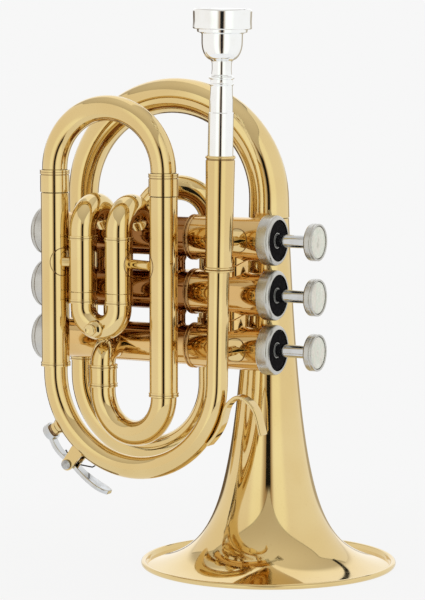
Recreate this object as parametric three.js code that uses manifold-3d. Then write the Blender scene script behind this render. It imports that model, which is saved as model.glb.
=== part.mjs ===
// Pocket trumpet: a tightly wound brass instrument with three piston valves, in millimetres, +Z up.
// It stands on the rim of its bell. +X runs from the valves' bottom caps to the finger buttons,
// +Y from the front run of tubing (leadpipe and tuning slide) to the back run (tail and bell).

import * as THREE from 'three';
import { mergeVertices } from 'three/addons/utils/BufferGeometryUtils.js';
import Module from 'manifold-3d';

const wasm = await Module();
wasm.setup();

// Fits shared by the whole instrument
const gap = 0.3; // clearance between two pieces that touch
const cutOver = 2; // how far a cutter runs past what it cuts
const wall = 0.6; // drawn tube
const bendTolerance = 0.75; // how far a bend's chords fall short of its outside
const straightShare = 1e-4; // share of the gap within which stations count as in line
const cornerTolerance = 1e-4; // corners closer than this are one
const uprightShare = 0.7; // a heading with more of Y than this counts as running along Y
const pipeSides = 10;

// Valve block: three casings side by side, axes along X
const topValveZ = 156.6;
const valvePitch = 25.2;
const casingRadius = 9.2;
const casingTopRadius = 10.05;
const casingStartX = 1.6;
const casingStepX = 80.4;
const casingEndX = 120;
const casingBeadRadius = 10.6;
const casingBeadLength = 1.5;
const pistonRadius = 8;
const pistonClearance = 0.4;
const boreRadius = pistonRadius + pistonClearance;
const casingSides = 16;
const portRadius = 4.9;

const bottomCapRadius = 11.1;
const bottomCapEndX = -2.6;
const bottomCapLength = 11;
const bottomCapFloor = 1.8;
const bottomCapLip = 1.1;
const bottomCapNoseRadius = 7.4;
const ventRadius = 1.2;

const topCapRadius = 11.55;
const topCapRise = 5;
const topCapFaceX = casingEndX + topCapRise;
const topCapLength = 6.6;
const topCapFloor = 1.4;
const topCapRimWall = 2;
const topCapChamfer = 0.8;
const capSides = 16;
const portSides = 8;
const feltThickness = 2.2;
const feltDepth = 0.5;
const feltHoleRadius = 4.4;
const topCapCollarDrop = 0.2; // from the felt's face down to the collar round the stem

const stroke = 16;
const pistonStartX = 20;
const pistonBodyEndX = 91.5;
const pistonSetBack = 2;
const pistonEndX = casingEndX - pistonSetBack;
const barrelRadius = 7.4;
const barrelWall = 1.2;
const barrelPlate = 1.8;
const passageRadius = 4.2;
const guideSetOff = 2.7;
const guideX = pistonBodyEndX + guideSetOff;
const guideLength = 1.6;
const guideWidth = 3.4;
const guideRadius = 5.4;
const guideHoleRadius = 3.2;
const slotSlack = 1;

const springTurns = 4;
const springRadius = 4.9;
const springWireRadius = 0.45;
const springSteps = 8;
const springSides = 5;

const stemRadius = 2.95;
const buttonRadius = 8.5;
const buttonLength = 4.5;
const buttonBackX = topCapFaceX + stroke;
const buttonFaceX = buttonBackX + buttonLength;
const buttonRimWall = 0.95;
const pearlThickness = 1.2;
const pearlCrown = 0.5;
// The crown's shoulder, as shares of the pearl's radius and of its crown
const pearlShoulderShare = 0.6;
const pearlDropShare = 0.25;
const turnedSides = 12;

// Front run of tubing, all in one upright plane
const frontY = -26;
const sleeveRadius = 6.5;
const sleeveBore = 5.85;
const slideLegRadius = 5.35;
const ferruleRadius = 6.9;
const ferruleRing = 1.9;
const bowTubeRadius = 5.85;
const insertLength = 6;

const leftSleeveX = 21.6;
const leftSleeveBottomZ = 95.9;
const sleeveTopZ = 187.5;
const ferruleLength = 10.2;
const rightSleeveX = 79.2;
const rightSleeveBottomZ = 85.2;
const tuningLegLength = 44;

const leadSetBack = 13.2; // from the top end of the casings to the foot of the leadpipe
const leadBowRadius = (casingEndX - leadSetBack - leftSleeveX) / 2;
const leadBowDrop = 2.1; // from the sleeve's end down to where the bow starts
const leadLean = THREE.MathUtils.degToRad(0.95);
const leadRadius = 4.95;
const leadBowEndRadius = 5.5;
const leadWall = 0.55;
const receiverBottom = 51.1;
const receiverLength = 52.4;
const receiverBottomRadius = 6.1;
const receiverTopRadius = 6.6;
const receiverBead = 2;
const receiverBeadRadius = 7;
const receiverRingRadius = 6.6;

const mouthpieceLength = 87;
const mouthpieceInsert = 21;
const mouthpieceGap = 4.4; // from the end of the mouthpiece to the end of the leadpipe
const leadTopHeight = receiverBottom + receiverLength - mouthpieceInsert - mouthpieceGap;
const rimRadius = 13.25;
const rimHeight = 9.4;
const cupBodyRadius = 9.25;
const cupBodyHeight = 19.5;
const shankTopRadius = 5.75;
const shankEndRadius = 4.8;
const stemNeckRadius = 4.5;
const neckHeight = 24.5;
const collarRadius = 5.6;
const collarTop = 30.5;
const collarBottom = 35;
const shankStepTop = 40.4;
const shankStepBottom = 46.7;
const shankStepRadius = 5.25;
const cupMouthRadius = 8.1;
const cupDepth = 11.5;
const throatRadius = 1.9;
const backboreRadius = 4.1;
const rimRound = 2.4;
const mouthpieceSides = 14;

const inletTurn = THREE.MathUtils.degToRad(11.5);
const inletBowRadius = 18.65;
const inletFerruleStart = 1.6;
const inletFerruleLength = 10.4;
const inletTubeRadius = 5.9;
const inletElbowRadius = 8;

// First valve slide, in front of the valves
const firstSlideX = 36.6;
const firstSlidePitch = 19.1;
const firstSleeveBottomZ = 131.7;
const firstSleeveLength = 25.8;
const firstElbowRadius = 10.9;
const firstElbowAngle = THREE.MathUtils.degToRad(145);
const firstElbowStraight = 2;
const firstElbowTube = 6.2;
const firstLegLength = 18;
const firstFerruleLength = 5.2;
const firstStraight = 1.7;
const knobRadius = 2.4;
const knobBaseRadius = 4;
const knobBaseLength = 1.6;
const knobLength = 5.6;
const knobHeadRadius = 2.9;
const knobHeadLength = 1.8;

// Second valve slide, behind the middle valve, and third valve slide, behind all three
const thirdSlideX = 27.6;
const thirdSlidePitch = 26.6;
const backY = 21;
const backElbowRadius = 9.5;
const thirdSleeveLength = 22;
const thirdLegLength = 17;
const thirdStraight = 2.5;
const secondSlideX = 40.4;
const secondSlidePitch = 26.6;
const secondSleeveRadius = 5.8;
const secondSleeveBore = 5.2;
const secondLegRadius = 4.75;
const secondBowTube = 5.2;
const secondSleeveEndY = 24;
const secondLegLength = 11;
const secondStraight = 5;

const transferX = 68.9;
const transferRadius = 6.3;
const transferFillet = 0.9;
const transferFilletLength = 2;

// Back run: bell, its bow, the tail bow and the arc into the top valve
const bellX = 105.7;
const bellY = 28;
const bellRimRadius = 60.3;
const bellHeight = 164.4;
const bellBeadRadius = 1.3;
const bellWall = 0.7;
const bellSides = 32;
const bellBowSides = 12;
const bellSteps = 11;
// The horn's curve: radius over rim radius at each share of the height is
// swell * (height + offset) ** -power - sink
const hornShares = { swell: 0.3942, offset: 0.0232, power: 0.3037, sink: 0.2366 };
const hornRadius = (height) => bellRimRadius
  * (hornShares.swell * (height + hornShares.offset) ** -hornShares.power - hornShares.sink);
// The stations crowd towards the rim by this power
const bellCrowdShare = 2.2;
const bellEndRadius = hornRadius(1);
const farLegX = 9.8;
const farLegY = 20.5;
const bellLegRadius = 7.1;
const bellFerruleLength = 8;
const bellFerruleWall = 0.5;
const bellLegBottomZ = 95;
const tailRightX = 79.5;
const tailTubeRadius = 6.3;
const tailBowCentreZ = 86.4;
const tailJointZ = 108;
const tailArcRadius = 15.8;
const tailArcCentreZ = 162.4;
const tailArcTurn = THREE.MathUtils.degToRad(27);
const tailArcTube = 5.85;
const tailFerruleLength = 9;

// Braces, hook and water key
const braceRadius = 2.3;
const braceFootRadius = 6;
const braceFootWall = 0.9;
const slideBraceZ = 145;

const hookThickness = 1.6;
const hookWidth = 6.4;
const hookFootAngle = THREE.MathUtils.degToRad(-37);
const hookLiftAngle = THREE.MathUtils.degToRad(-22);
// The curl's places from the centre of the leadpipe's bow: shares of its span across, of its drop down
const hookReach = 24.4;
const hookSpan = leadBowRadius + hookReach;
const hookDrop = 22.5;
const hookCurlShares = [[0.718, 0.435], [0.82, 0.276], [0.94, 0.493], [1, 1]];
const hookSteps = 16;

const nippleAngle = THREE.MathUtils.degToRad(212.7);
const pivotAngle = THREE.MathUtils.degToRad(231.3);
const thumbAngle = THREE.MathUtils.degToRad(255.9);
const nippleRadius = 3;
const nippleHoleRadius = 1.5;
const nippleReach = 8.6;
const pivotReach = 12.8;
const earThickness = 1.5;
const earRadius = 2.9;
const earWidth = 7.6;
const earHeight = 10.6;
const leverWidth = 4.6;
const leverThickness = 2;
const leverBulge = 1.4;
const leverSteps = 4;
const thumbReach = 14.4;
const thumbWidth = 9;
const leverEyeRadius = 2.7;
const screwRadius = 1.15;
const screwHeadRadius = 2.3;
const screwHeadLength = 1.1;
const corkRadius = 2.9;
const corkThickness = 2.2;
const corkCupWall = 0.9;
const corkCupDepth = 1.5;
const keySpringTurns = 2;
const keySpringWire = 0.35;
const keySpringArmAngle = THREE.MathUtils.degToRad(8);
const keySpringHook = 5;
// How far past the arm the hook's knee stands, as a share of the arm's angle
const keySpringKneeShare = 1.2;
// Where the thumb pad begins, as a share of the lever's long arm
const thumbPadShare = 0.66;

// The drawing's X and Y start at the valves' bottom caps and at their axes. These move the zero to the
// middle of the whole instrument
const centreX = (bottomCapEndX + bellX + bellRimRadius) / 2;
const centreY = (frontY - rimRadius + bellY + bellRimRadius) / 2;

// Materials
function metal(colour, roughness, metalness = 1) {
  return new THREE.MeshStandardMaterial({ color: colour, roughness, metalness });
}

const lacqueredBrass = metal(0xd9b96a, 0.18);
const silverPlate = metal(0xdfe0dc, 0.16);
const nickel = metal(0xc9cac2, 0.3);
const monel = metal(0xb9b7ae, 0.35);
const steel = metal(0x9a9a98, 0.35);
const pearl = metal(0xf1eee6, 0.25, 0);
const blackFelt = metal(0x141214, 0.9, 0);
const cork = metal(0xc09a68, 0.85, 0);

const instrument = new THREE.Group();
instrument.position.set(-centreX, -centreY, 0);

function place(name, geometry, material, parent = instrument) {
  const mesh = new THREE.Mesh(geometry, material);
  mesh.name = name;
  parent.add(mesh);
  return mesh;
}

// A closed skin as a solid: shared corners merged, collapsed triangles dropped, faces pointing out
function solid(geometry) {
  const bare = geometry.clone();
  bare.deleteAttribute('normal');
  bare.deleteAttribute('uv');
  const merged = mergeVertices(bare, cornerTolerance);
  const corners = merged.attributes.position;
  const triangles = [];
  let volume = 0;
  const [a, b, c] = [new THREE.Vector3(), new THREE.Vector3(), new THREE.Vector3()];
  for (let i = 0; i < merged.index.count; i += 3) {
    const [p, q, r] = [0, 1, 2].map((k) => merged.index.getX(i + k));
    if (p === q || q === r || r === p) continue;
    triangles.push(p, q, r);
    a.fromBufferAttribute(corners, p);
    b.fromBufferAttribute(corners, q);
    c.fromBufferAttribute(corners, r);
    volume += a.dot(b.cross(c));
  }
  if (volume < 0) triangles.reverse();
  return new wasm.Manifold(new wasm.Mesh({
    numProp: 3,
    vertProperties: new Float32Array(corners.array),
    triVerts: new Uint32Array(triangles),
  }));
}

function skinOf(manifold) {
  const mesh = manifold.getMesh();
  const geometry = new THREE.BufferGeometry();
  geometry.setAttribute('position', new THREE.BufferAttribute(new Float32Array(mesh.vertProperties), 3));
  geometry.setIndex(new THREE.BufferAttribute(new Uint32Array(mesh.triVerts), 1));
  const flat = geometry.toNonIndexed();
  flat.computeVertexNormals();
  return flat;
}

function joined(...geometries) {
  return skinOf(geometries.map(solid).reduce((whole, next) => whole.add(next)));
}

function cut(geometry, ...cutters) {
  return skinOf(cutters.map(solid).reduce((whole, next) => whole.subtract(next), solid(geometry)));
}

function shared(first, second) {
  return skinOf(solid(first).intersect(solid(second)));
}

// A turned piece: [radius, height] corners revolved about +Z
function turned(outline, sides = turnedSides) {
  const corners = outline.map(([radius, height]) => new THREE.Vector2(radius, height));
  return new THREE.LatheGeometry(corners, sides).rotateX(Math.PI / 2);
}

// A turned ring or sleeve: its outline closes on itself
function turnedRing(outline, sides = turnedSides) {
  return turned([...outline, outline[0]], sides);
}

function rod(from, to, radius, sides = turnedSides) {
  const along = to.clone().sub(from);
  const geometry = new THREE.CylinderGeometry(radius, radius, along.length(), sides);
  const turn = new THREE.Quaternion().setFromUnitVectors(new THREE.Vector3(0, 1, 0), along.normalize());
  return geometry.applyQuaternion(turn).translate(...from.clone().add(to).multiplyScalar(0.5));
}

const alongX = new THREE.Vector3(1, 0, 0);
const alongY = new THREE.Vector3(0, 1, 0);
const alongZ = new THREE.Vector3(0, 0, 1);
const [leftward, forward, downward] = [alongX, alongY, alongZ].map((axis) => axis.clone().negate());
const point = (x, y, z) => new THREE.Vector3(x, y, z);

// The route of a tube: stations along straights and bends, each with its outer and bore radius
class Route {
  constructor(start, heading, outer, bore) {
    this.here = start.clone();
    this.heading = heading.clone().normalize();
    this.across = Math.abs(this.heading.y) > uprightShare ? alongX.clone() : alongY.clone();
    this.outer = outer;
    this.bore = bore;
    this.stations = [];
    this.mark();
  }

  mark() {
    this.stations.push({
      centre: this.here.clone(),
      across: this.across.clone(),
      up: this.heading.clone().cross(this.across),
      outer: this.outer,
      bore: this.bore,
    });
    return this;
  }

  // A sudden change of radius
  step(outer, bore = this.bore) {
    this.outer = outer;
    this.bore = bore;
    return this.mark();
  }

  straight(length, outer = this.outer, bore = this.bore) {
    this.here.addScaledVector(this.heading, length);
    return this.step(outer, bore);
  }

  // A raised ring: a ferrule's edge or a bead
  ring(length, outer) {
    const before = this.outer;
    return this.step(outer).straight(length).step(before);
  }

  bend(radius, angle, axis, outerEnd = this.outer, boreEnd = this.bore) {
    const step = 2 * Math.acos(1 - bendTolerance / (radius + this.outer));
    const steps = Math.ceil(angle / step);
    const turn = new THREE.Quaternion().setFromAxisAngle(axis, angle / steps);
    const inward = axis.clone().cross(this.heading).normalize();
    const centre = this.here.clone().addScaledVector(inward, radius);
    const [outerStart, boreStart] = [this.outer, this.bore];
    for (let i = 1; i <= steps; i += 1) {
      this.here.sub(centre).applyQuaternion(turn).add(centre);
      this.heading.applyQuaternion(turn);
      this.across.applyQuaternion(turn);
      this.outer = THREE.MathUtils.lerp(outerStart, outerEnd, i / steps);
      this.bore = THREE.MathUtils.lerp(boreStart, boreEnd, i / steps);
      this.mark();
    }
    return this;
  }
}

// Whether a straight, even stretch of tube can do without its middle station
function spare(before, here, after, radiusOf) {
  const into = here.centre.clone().sub(before.centre);
  const out = after.centre.clone().sub(here.centre);
  const even = radiusOf(before) === radiusOf(here) && radiusOf(here) === radiusOf(after);
  return even && into.cross(out).length() <= gap * straightShare;
}

// Rings of corners round a route's stations, joined into one closed skin: outside, then bore
function loft(route, radiiOf, sides) {
  const { stations } = route;
  const corners = [];
  const triangles = [];
  const skins = radiiOf.map((radiusOf) => {
    const kept = stations.filter((station, i) => i === 0 || i === stations.length - 1
      || !spare(stations[i - 1], station, stations[i + 1], radiusOf));
    const first = corners.length / 3;
    kept.forEach((station) => {
      for (let side = 0; side < sides; side += 1) {
        const angle = (2 * Math.PI * side) / sides;
        corners.push(...station.centre.clone()
          .addScaledVector(station.across, radiusOf(station) * Math.cos(angle))
          .addScaledVector(station.up, radiusOf(station) * Math.sin(angle)));
      }
    });
    return { corner: (ring, side) => first + ring * sides + (side % sides), last: kept.length - 1 };
  });
  const quad = (a, b, c, d) => triangles.push(a, b, c, a, c, d);
  const [outside, bore] = skins;
  for (let side = 0; side < sides; side += 1) {
    for (let ring = 0; ring < outside.last; ring += 1) {
      quad(outside.corner(ring, side), outside.corner(ring, side + 1),
        outside.corner(ring + 1, side + 1), outside.corner(ring + 1, side));
    }
    if (bore) {
      for (let ring = 0; ring < bore.last; ring += 1) {
        quad(bore.corner(ring, side), bore.corner(ring + 1, side),
          bore.corner(ring + 1, side + 1), bore.corner(ring, side + 1));
      }
      quad(outside.corner(0, side + 1), outside.corner(0, side), bore.corner(0, side),
        bore.corner(0, side + 1));
      quad(outside.corner(outside.last, side), outside.corner(outside.last, side + 1),
        bore.corner(bore.last, side + 1), bore.corner(bore.last, side));
    } else if (side > 0 && side < sides - 1) {
      triangles.push(outside.corner(0, 0), outside.corner(0, side + 1), outside.corner(0, side));
      triangles.push(outside.corner(outside.last, 0), outside.corner(outside.last, side),
        outside.corner(outside.last, side + 1));
    }
  }
  const geometry = new THREE.BufferGeometry();
  geometry.setAttribute('position', new THREE.Float32BufferAttribute(corners, 3));
  geometry.setIndex(triangles);
  return geometry;
}

const pipe = (route, sides = pipeSides) => loft(route, [(s) => s.outer, (s) => s.bore], sides);
const core = (route, sides = pipeSides) => loft(route, [(s) => s.bore], sides);
const stock = (route, sides = pipeSides) => loft(route, [(s) => s.outer], sides);

// A solid with its corners merged, ready to place
const clean = (geometry) => skinOf(solid(geometry));

const valveZ = (number) => topValveZ - (number - 1) * valvePitch;

// The space that a casing takes, with its clearance
function casingSpace(number) {
  const from = point(casingStartX, 0, valveZ(number));
  const to = point(casingStepX, 0, valveZ(number));
  return rod(from, to, casingRadius + gap, casingSides);
}

// Ports: where each tube enters its casing. turn is the angle round the axis, from +Y towards +Z
const firstPortTurn = Math.PI - (firstElbowAngle - Math.PI / 2);
const tailPortX = tailRightX - 2 * tailArcRadius * Math.cos(tailArcTurn);
const tailPortY = farLegY - 2 * tailArcRadius * Math.sin(tailArcTurn);
const inletPortX = rightSleeveX - 2 * inletBowRadius * Math.cos(inletTurn);
const [portUp, portDown, portBack, portFront] = [Math.PI / 2, -Math.PI / 2, 0, Math.PI];
const ports = {
  1: {
    inlet: { x: transferX, turn: portDown },
    outlet: { x: tailPortX, turn: Math.acos(tailPortY / casingRadius), upright: true, y: tailPortY },
    slide: [firstSlideX, firstSlideX + firstSlidePitch].map((x) => ({ x, turn: firstPortTurn })),
  },
  2: {
    inlet: { x: transferX, turn: portDown },
    outlet: { x: transferX, turn: portUp },
    slide: [secondSlideX, secondSlideX + secondSlidePitch].map((x) => ({ x, turn: portBack })),
  },
  3: {
    inlet: { x: inletPortX, turn: portFront },
    outlet: { x: transferX, turn: portUp },
    slide: [thirdSlideX, thirdSlideX + thirdSlidePitch].map((x) => ({ x, turn: portBack })),
  },
};

// In a valve's own frame its axis is +Z and the instrument's +Z is -X
function portPoint(port, radius, shift = 0) {
  return point(-radius * Math.sin(port.turn), radius * Math.cos(port.turn), port.x + shift);
}

function portDrill(port, reach) {
  if (port.upright) {
    return rod(point(0, port.y, port.x), point(-reach, port.y, port.x), portRadius, portSides);
  }
  return rod(portPoint(port, 0), portPoint(port, reach), portRadius, portSides);
}

function casing(number) {
  const boreStep = guideX - gap;
  const body = turnedRing([
    [casingRadius, casingStartX],
    [casingRadius, casingStepX],
    [casingBeadRadius, casingStepX],
    [casingBeadRadius, casingStepX + casingBeadLength],
    [casingTopRadius, casingStepX + casingBeadLength],
    [casingTopRadius, casingEndX],
    [boreRadius, casingEndX],
    [boreRadius, casingStartX],
  ], casingSides);
  const { inlet, outlet, slide } = ports[number];
  const drills = [inlet, outlet, ...slide].map((port) => portDrill(port, casingRadius + cutOver));
  // The spring's seat: a slotted washer on a bar across the bore
  const bar = new THREE.BoxGeometry(2 * boreRadius + wall, guideWidth, guideLength)
    .translate(0, 0, boreStep + guideLength / 2);
  const washer = rod(point(0, 0, boreStep), point(0, 0, boreStep + guideLength), guideRadius, portSides);
  const hole = rod(point(0, 0, boreStep - cutOver), point(0, 0, boreStep + guideLength + cutOver),
    guideHoleRadius, portSides);
  return joined(cut(body, ...drills), cut(joined(bar, washer), hole));
}

function bottomCap() {
  const inner = casingRadius + gap;
  const top = bottomCapEndX + bottomCapLength;
  const floor = bottomCapEndX + bottomCapFloor;
  return turnedRing([
    [ventRadius, bottomCapEndX],
    [bottomCapNoseRadius, bottomCapEndX],
    [bottomCapRadius - bottomCapLip, bottomCapEndX + bottomCapLip],
    [bottomCapRadius, bottomCapEndX + 2 * bottomCapLip],
    [bottomCapRadius, top],
    [inner, top],
    [inner, floor],
    [ventRadius, floor],
  ], capSides);
}

const topCapRecessX = topCapFaceX - feltDepth - feltThickness - gap;
const topCapRecessRadius = topCapRadius - topCapRimWall;

function topCap() {
  const inner = casingTopRadius + gap;
  const start = topCapFaceX - topCapLength;
  const plateX = topCapRecessX - topCapFloor;
  const hole = stemRadius + gap;
  const collar = feltHoleRadius - gap;
  const collarX = topCapFaceX - feltDepth - topCapCollarDrop;
  return turnedRing([
    [inner, start],
    [topCapRadius - topCapChamfer, start],
    [topCapRadius, start + topCapChamfer],
    [topCapRadius, topCapFaceX - topCapChamfer],
    [topCapRadius - topCapChamfer, topCapFaceX],
    [topCapRecessRadius, topCapFaceX],
    [topCapRecessRadius, topCapRecessX],
    [collar, topCapRecessX],
    [collar, collarX],
    [hole, collarX],
    [hole, plateX],
    [inner, plateX],
  ], capSides);
}

function topFelt() {
  const radius = topCapRecessRadius - gap;
  const [from, to] = [topCapRecessX + gap, topCapFaceX - feltDepth];
  return turnedRing([[feltHoleRadius, from], [radius, from], [radius, to], [feltHoleRadius, to]]);
}

// The piston: a ported body with a slotted spring barrel above it. At rest one passage joins the
// valve's inlet to its outlet; a stroke lower, two others send the air through the valve's slide.
function piston(number) {
  const barrelBore = barrelRadius - barrelWall;
  const body = turned([
    [0, pistonStartX],
    [pistonRadius, pistonStartX],
    [pistonRadius, pistonBodyEndX],
    [barrelRadius, pistonBodyEndX],
    [barrelRadius, pistonEndX],
    [stemRadius, pistonEndX],
    [stemRadius, pistonEndX - barrelPlate],
    [barrelBore, pistonEndX - barrelPlate],
    [barrelBore, pistonBodyEndX],
    [0, pistonBodyEndX],
  ], casingSides);
  const { inlet, outlet, slide } = ports[number];
  const reach = pistonRadius + cutOver;
  const passage = (from, to, shift) => rod(portPoint(from, reach, shift), portPoint(to, reach, shift),
    passageRadius, portSides);
  const slotLength = stroke + guideLength + 2 * slotSlack;
  const slot = new THREE.BoxGeometry(2 * reach, guideWidth + 2 * gap, slotLength)
    .translate(0, 0, guideX - gap - slotSlack + slotLength / 2);
  return cut(body, slot, passage(inlet, outlet, 0), passage(inlet, slide[0], stroke),
    passage(slide[1], outlet, stroke));
}

function coil(radius, wire, turns, length, start) {
  const steps = turns * springSteps;
  const route = new Route(point(radius, 0, start), alongY, wire, 0);
  route.stations = [];
  for (let step = 0; step <= steps; step += 1) {
    const angle = (2 * Math.PI * step) / springSteps;
    const out = point(Math.cos(angle), Math.sin(angle), 0);
    route.stations.push({
      centre: out.clone().multiplyScalar(radius).setZ(start + (length * step) / steps),
      across: out,
      up: alongZ,
      outer: wire,
    });
  }
  return clean(stock(route, springSides));
}

function valveSpring() {
  const from = guideX + guideLength + springWireRadius;
  const to = pistonEndX - barrelPlate - gap - springWireRadius;
  return coil(springRadius, springWireRadius, springTurns, to - from, from);
}

function stem() {
  return turned([
    [0, pistonEndX + gap],
    [stemRadius, pistonEndX + gap],
    [stemRadius, buttonBackX - gap],
    [0, buttonBackX - gap],
  ], pipeSides);
}

function fingerButton() {
  const well = buttonRadius - buttonRimWall;
  const edge = buttonLength / 4;
  return turned([
    [0, buttonBackX],
    [buttonRadius - 2 * edge, buttonBackX],
    [buttonRadius, buttonBackX + edge],
    [buttonRadius, buttonFaceX - edge],
    [buttonRadius - buttonRimWall / 2, buttonFaceX],
    [well, buttonFaceX],
    [well, buttonFaceX - pearlThickness - gap],
    [0, buttonFaceX - pearlThickness - gap],
  ]);
}

function buttonPearl() {
  const radius = buttonRadius - buttonRimWall - gap;
  const back = buttonFaceX - pearlThickness;
  return turned([
    [0, back],
    [radius, back],
    [radius, buttonFaceX - pearlCrown],
    [pearlShoulderShare * radius, buttonFaceX - pearlDropShare * pearlCrown],
    [0, buttonFaceX],
  ]);
}

function valve(number) {
  const block = new THREE.Group();
  block.position.z = valveZ(number);
  block.rotation.y = Math.PI / 2;
  place(`valve_casing_${number}`, casing(number), lacqueredBrass, block);
  place(`bottom_cap_${number}`, clean(bottomCap()), nickel, block);
  place(`top_cap_${number}`, clean(topCap()), nickel, block);
  place(`top_felt_${number}`, clean(topFelt()), blackFelt, block);
  place(`piston_${number}`, piston(number), monel, block);
  place(`valve_spring_${number}`, valveSpring(), steel, block);
  place(`valve_stem_${number}`, clean(stem()), nickel, block);
  place(`finger_button_${number}`, clean(fingerButton()), nickel, block);
  place(`button_pearl_${number}`, clean(buttonPearl()), pearl, block);
  return block;
}

// Short tubes between neighbouring casings, flared where they meet them
function transferTube(upper) {
  const route = new Route(point(transferX, 0, valveZ(upper + 1)), alongZ, transferRadius + transferFillet,
    portRadius);
  route.straight(casingRadius).straight(transferFilletLength, transferRadius)
    .straight(valvePitch - 2 * (casingRadius + transferFilletLength))
    .straight(transferFilletLength, transferRadius + transferFillet).straight(casingRadius);
  return cut(pipe(route), casingSpace(upper), casingSpace(upper + 1));
}

// Front run
function leadpipeRoute() {
  const route = new Route(point(leftSleeveX, frontY, leftSleeveBottomZ + insertLength), downward,
    leadBowEndRadius, leadBowEndRadius - leadWall);
  return route.straight(insertLength + gap + leadBowDrop)
    .bend(leadBowRadius, Math.PI - leadLean, forward, leadRadius, leadRadius - leadWall)
    .straight(leadTopHeight);
}

const leadBowCentre = point(leftSleeveX + leadBowRadius, frontY, leftSleeveBottomZ - gap - leadBowDrop);

// A place on the leadpipe's bow: angle from +X, reach from the tube's centre line
function onBow(angle, reach, y = frontY) {
  const radius = leadBowRadius + reach;
  return point(leadBowCentre.x + radius * Math.cos(angle), y, leadBowCentre.z + radius * Math.sin(angle));
}

const earY = leverWidth / 2 + gap + earThickness / 2;

function leadpipe() {
  const route = leadpipeRoute();
  const nipple = rod(onBow(nippleAngle, 0), onBow(nippleAngle, nippleReach), nippleRadius, pipeSides);
  const hole = rod(onBow(nippleAngle, 0), onBow(nippleAngle, nippleReach + cutOver), nippleHoleRadius,
    pipeSides);
  const ears = [-earY, earY].map((y) => {
    const [near, far] = [frontY + y - earThickness / 2, frontY + y + earThickness / 2];
    const eye = rod(onBow(pivotAngle, pivotReach, near), onBow(pivotAngle, pivotReach, far), earRadius,
      pipeSides);
    const web = new THREE.BoxGeometry(earHeight, earThickness, earWidth)
      .translate(leadBowRadius + earHeight / 2, y, 0).rotateY(-pivotAngle)
      .translate(...leadBowCentre);
    return joined(eye, web);
  });
  const pivot = rod(onBow(pivotAngle, pivotReach, frontY - 2 * earY), onBow(pivotAngle, pivotReach,
    frontY + 2 * earY), screwRadius + gap, pipeSides);
  return cut(joined(stock(route), nipple, ...ears), core(longer(route)), hole, pivot);
}

// A route whose ends run a little further, for boring a pipe right through
function longer(route) {
  const over = new Route(alongZ, alongZ, 0, 0);
  over.stations = route.stations.map((station) => ({ ...station, centre: station.centre.clone() }));
  const [first, last] = [over.stations[0], over.stations[over.stations.length - 1]];
  first.centre.addScaledVector(first.across.clone().cross(first.up), -cutOver);
  last.centre.addScaledVector(last.across.clone().cross(last.up), cutOver);
  return over;
}

function sleeve(x, bottomZ) {
  const route = new Route(point(x, frontY, bottomZ), alongZ, sleeveRadius, sleeveBore);
  route.ring(ferruleRing, ferruleRadius)
    .straight(sleeveTopZ - bottomZ - ferruleLength - 2 * ferruleRing)
    .straight(ferruleLength - gap, sleeveRadius + gap)
    .ring(ferruleRing, ferruleRadius);
  return pipe(route);
}

function tuningSlide() {
  const sleeveTop = sleeveTopZ - gap;
  const bowRadius = (rightSleeveX - leftSleeveX) / 2;
  const bore = slideLegRadius - wall;
  const route = new Route(point(leftSleeveX, frontY, sleeveTop - tuningLegLength), alongZ, slideLegRadius,
    bore);
  route.straight(tuningLegLength + 2 * gap).step(bowTubeRadius)
    .bend(bowRadius, Math.PI, alongY)
    .step(slideLegRadius).straight(tuningLegLength + 2 * gap);
  return pipe(route);
}

// From the right sleeve round under the first slide, up and into the third valve
function inletBow() {
  const route = new Route(point(rightSleeveX, frontY, rightSleeveBottomZ + insertLength), downward,
    leadBowEndRadius, leadBowEndRadius - wall);
  const across = point(-Math.sin(inletTurn), -Math.cos(inletTurn), 0).negate();
  route.straight(insertLength + gap).step(inletTubeRadius)
    .bend(inletBowRadius, Math.PI, across)
    .straight(inletFerruleStart).ring(ferruleRing, ferruleRadius)
    .step(sleeveRadius).straight(inletFerruleLength - 2 * ferruleRing)
    .ring(ferruleRing, ferruleRadius).step(inletTubeRadius);
  const elbowY = -(route.here.y + inletElbowRadius);
  route.bend(inletElbowRadius, Math.PI / 2, leftward).straight(elbowY);
  return cut(pipe(route), casingSpace(3));
}

// First valve slide
function firstSleeve(x) {
  const route = new Route(point(x, frontY, firstSleeveBottomZ), alongZ, sleeveRadius, sleeveBore);
  route.straight(firstSleeveLength - ferruleRing).ring(ferruleRing, ferruleRadius)
    .step(firstElbowTube, portRadius).straight(firstElbowStraight)
    .bend(firstElbowRadius, firstElbowAngle, leftward)
    .straight(casingRadius + cutOver / 2);
  return cut(pipe(route), casingSpace(1));
}

function firstSlide() {
  const top = firstSleeveBottomZ - gap;
  const route = new Route(point(firstSlideX, frontY, top + firstLegLength), downward,
    slideLegRadius, portRadius - gap);
  route.straight(firstLegLength).step(sleeveRadius).straight(firstFerruleLength)
    .step(bowTubeRadius).straight(firstStraight)
    .bend(firstSlidePitch / 2, Math.PI, forward)
    .straight(firstStraight).step(sleeveRadius).straight(firstFerruleLength)
    .step(slideLegRadius).straight(firstLegLength);
  const bowZ = top - firstFerruleLength - firstStraight - firstSlidePitch / 2;
  const at = (reach) => point(firstSlideX + firstSlidePitch / 2, frontY - reach, bowZ);
  const face = bowTubeRadius;
  const knob = joined(
    rod(at(0), at(face + knobBaseLength), knobBaseRadius, pipeSides),
    rod(at(0), at(face + knobLength), knobRadius, pipeSides),
    rod(at(face + knobLength - knobHeadLength), at(face + knobLength), knobHeadRadius, pipeSides),
  );
  return cut(joined(stock(route), knob), core(longer(route)));
}

// Second valve slide: a short loop that points straight back
function secondSleeve(x) {
  const route = new Route(point(x, 0, valveZ(2)), alongY, secondSleeveRadius, secondSleeveBore);
  route.straight(secondSleeveEndY - ferruleRing).ring(ferruleRing, secondSleeveRadius + gap);
  return cut(pipe(route), casingSpace(2));
}

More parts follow.
